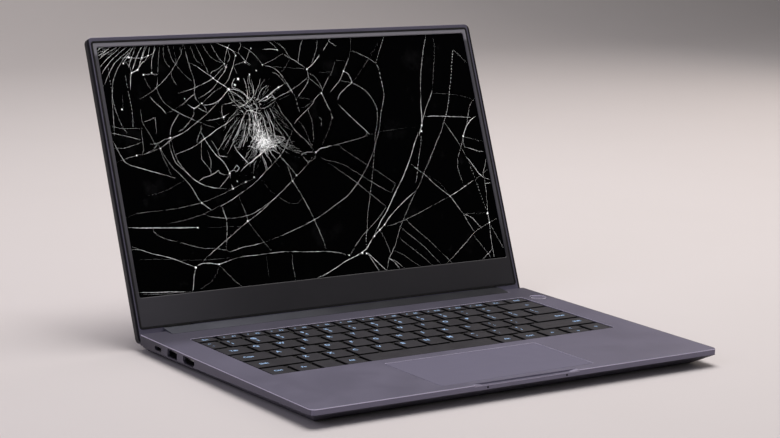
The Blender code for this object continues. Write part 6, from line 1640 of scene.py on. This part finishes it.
class LAPTOP_OT_ports(bpy.types.Operator):
    """Plate the sockets and lay the contacts on their tongues"""

    bl_idname = "laptop.ports"
    bl_label = "Ports"

    def execute(self, context):
        """Dress the sockets and add the contact strips."""
        steel = steel_finish("plated_socket_steel", "8F8F93", 0.32)
        for node in ("usb_c_socket", "usb_a_socket_left", "hdmi_socket", "usb_a_socket_right",
                     "audio_jack"):
            dress(node, steel)
        self.contacts()
        return {"FINISHED"}

    def contacts(self):
        """Thin gold strips along each tongue, side by side, all as round-cornered tiles."""
        tiles = []
        levels = []
        for node, count, spacing, wide, level in (
                ("usb_a_socket_left", 4, 2.5, 1.0, 0.4), ("usb_a_socket_right", 4, 2.5, 1.0, 0.4),
                ("hdmi_socket", 10, 1.0, 0.45, -0.1), ("usb_c_socket", 8, 0.7, 0.3, -0.35)):
            low, high = place_of(node)
            middle = (low + high) / 2
            side = math.copysign(1, middle[0])
            x = side * (HALF - 1.8 - 4.6)
            tongue = middle[2] + level
            for k in range(count):
                y = middle[1] + (k - (count - 1) / 2) * spacing
                tiles.append((x, y, 2.6, wide / 2))
                levels.append(tongue)
        profile = [(0, 0.04, 0), (0, 0.04, 1), (0, -0.05, 1), (0.04, -0.07, 1), (0.04, -0.07, 0)]
        points = tile_points(tiles, 0.12, profile, 2)
        points[..., 2] += np.array(levels)[:, None, None]
        faces = tube_faces(len(tiles), len(profile), points.shape[2], open_ends=True)
        piece = mesh_object("port_contacts", points, faces, contact_finish(), "base")
        merge(piece)


class LAPTOP_OT_display(bpy.types.Operator):
    """Finish the bezel, seal and hinge bar, and break the panel"""

    bl_idname = "laptop.display"
    bl_label = "Display"

    def execute(self, context):
        """Dress the lid's face and build the broken panel with its cracks."""
        settings = context.scene.laptop_finish
        merged_copy("bezel_frame", "display_bezel", bezel_finish(settings), 40)
        merged_copy("rim_seal", "lid_gasket", rubber_finish("rim_rubber", "131314"), 40)
        merged_copy("hinge_bar", "hinge_cover", bar_finish(settings), 40)
        broken_panel(panel_finish(settings), context.scene.laptop_sizes)
        crack_pieces(context.scene.laptop_sizes, crack_finish(settings))
        return {"FINISHED"}


class LAPTOP_OT_insides(bpy.types.Operator):
    """Finish the parts inside the base and the lid"""

    bl_idname = "laptop.insides"
    bl_label = "Insides"

    def execute(self, context):
        """Dress every inner node by what it is made of."""
        board = board_finish()
        plastic = shell_plastic()
        copper = copper_finish()
        steel = steel_finish()
        groups = (
            (board, ("mainboard", "io_board", "ssd_module", "wifi_card")),
            (plastic, ("battery", "speaker_left", "speaker_right", "fan_housing", "fan_rotor")),
            (copper, ("fin_stack", "heat_pipe")),
            (light_box_finish(), ("lcd_backlight",)),
            (steel, tuple("hinge_%s_%s" % (side, part) for side in ("left", "right")
                          for part in ("base_bracket", "pin", "lid_bracket"))),
        )
        for material, nodes in groups:
            for node in nodes:
                dress(node, material)
        return {"FINISHED"}


STEPS = (
    LAPTOP_OT_stage, LAPTOP_OT_housing, LAPTOP_OT_keyboard, LAPTOP_OT_touch_parts, LAPTOP_OT_ports,
    LAPTOP_OT_display, LAPTOP_OT_insides)


class LAPTOP_PT_panel(bpy.types.Panel):
    """Sidebar panel with the settings and the steps"""

    bl_label = "Broken Laptop"
    bl_idname = "LAPTOP_PT_panel"
    bl_space_type = "VIEW_3D"
    bl_region_type = "UI"
    bl_category = "Laptop"

    def draw(self, context):
        """List the settings, then one button for each step."""
        for group in (context.scene.laptop_finish, context.scene.laptop_sizes, context.scene.laptop_stage):
            box = self.layout.box()
            for name in group.__annotations__:
                box.prop(group, name)
        for step in STEPS:
            self.layout.operator(step.bl_idname)


GROUPS = (
    ("laptop_finish", LaptopFinish), ("laptop_sizes", LaptopSizes), ("laptop_stage", LaptopStage))


def register():
    """Register the settings, the steps and the panel."""
    for name, group in GROUPS:
        bpy.utils.register_class(group)
        setattr(bpy.types.Scene, name, PointerProperty(type=group))
    for item in STEPS + (LAPTOP_PT_panel,):
        bpy.utils.register_class(item)


def unregister():
    """Take the panel, the steps and the settings away again."""
    for item in reversed(STEPS + (LAPTOP_PT_panel,)):
        bpy.utils.unregister_class(item)
    for name, group in reversed(GROUPS):
        delattr(bpy.types.Scene, name)
        bpy.utils.unregister_class(group)


def main():
    """Run every step in order."""
    register()
    for step in STEPS:
        area, name = step.bl_idname.split(".")
        if getattr(getattr(bpy.ops, area), name)() != {"FINISHED"}:
            raise RuntimeError(step.bl_idname + " did not finish")


if __name__ == "__main__":
    main()
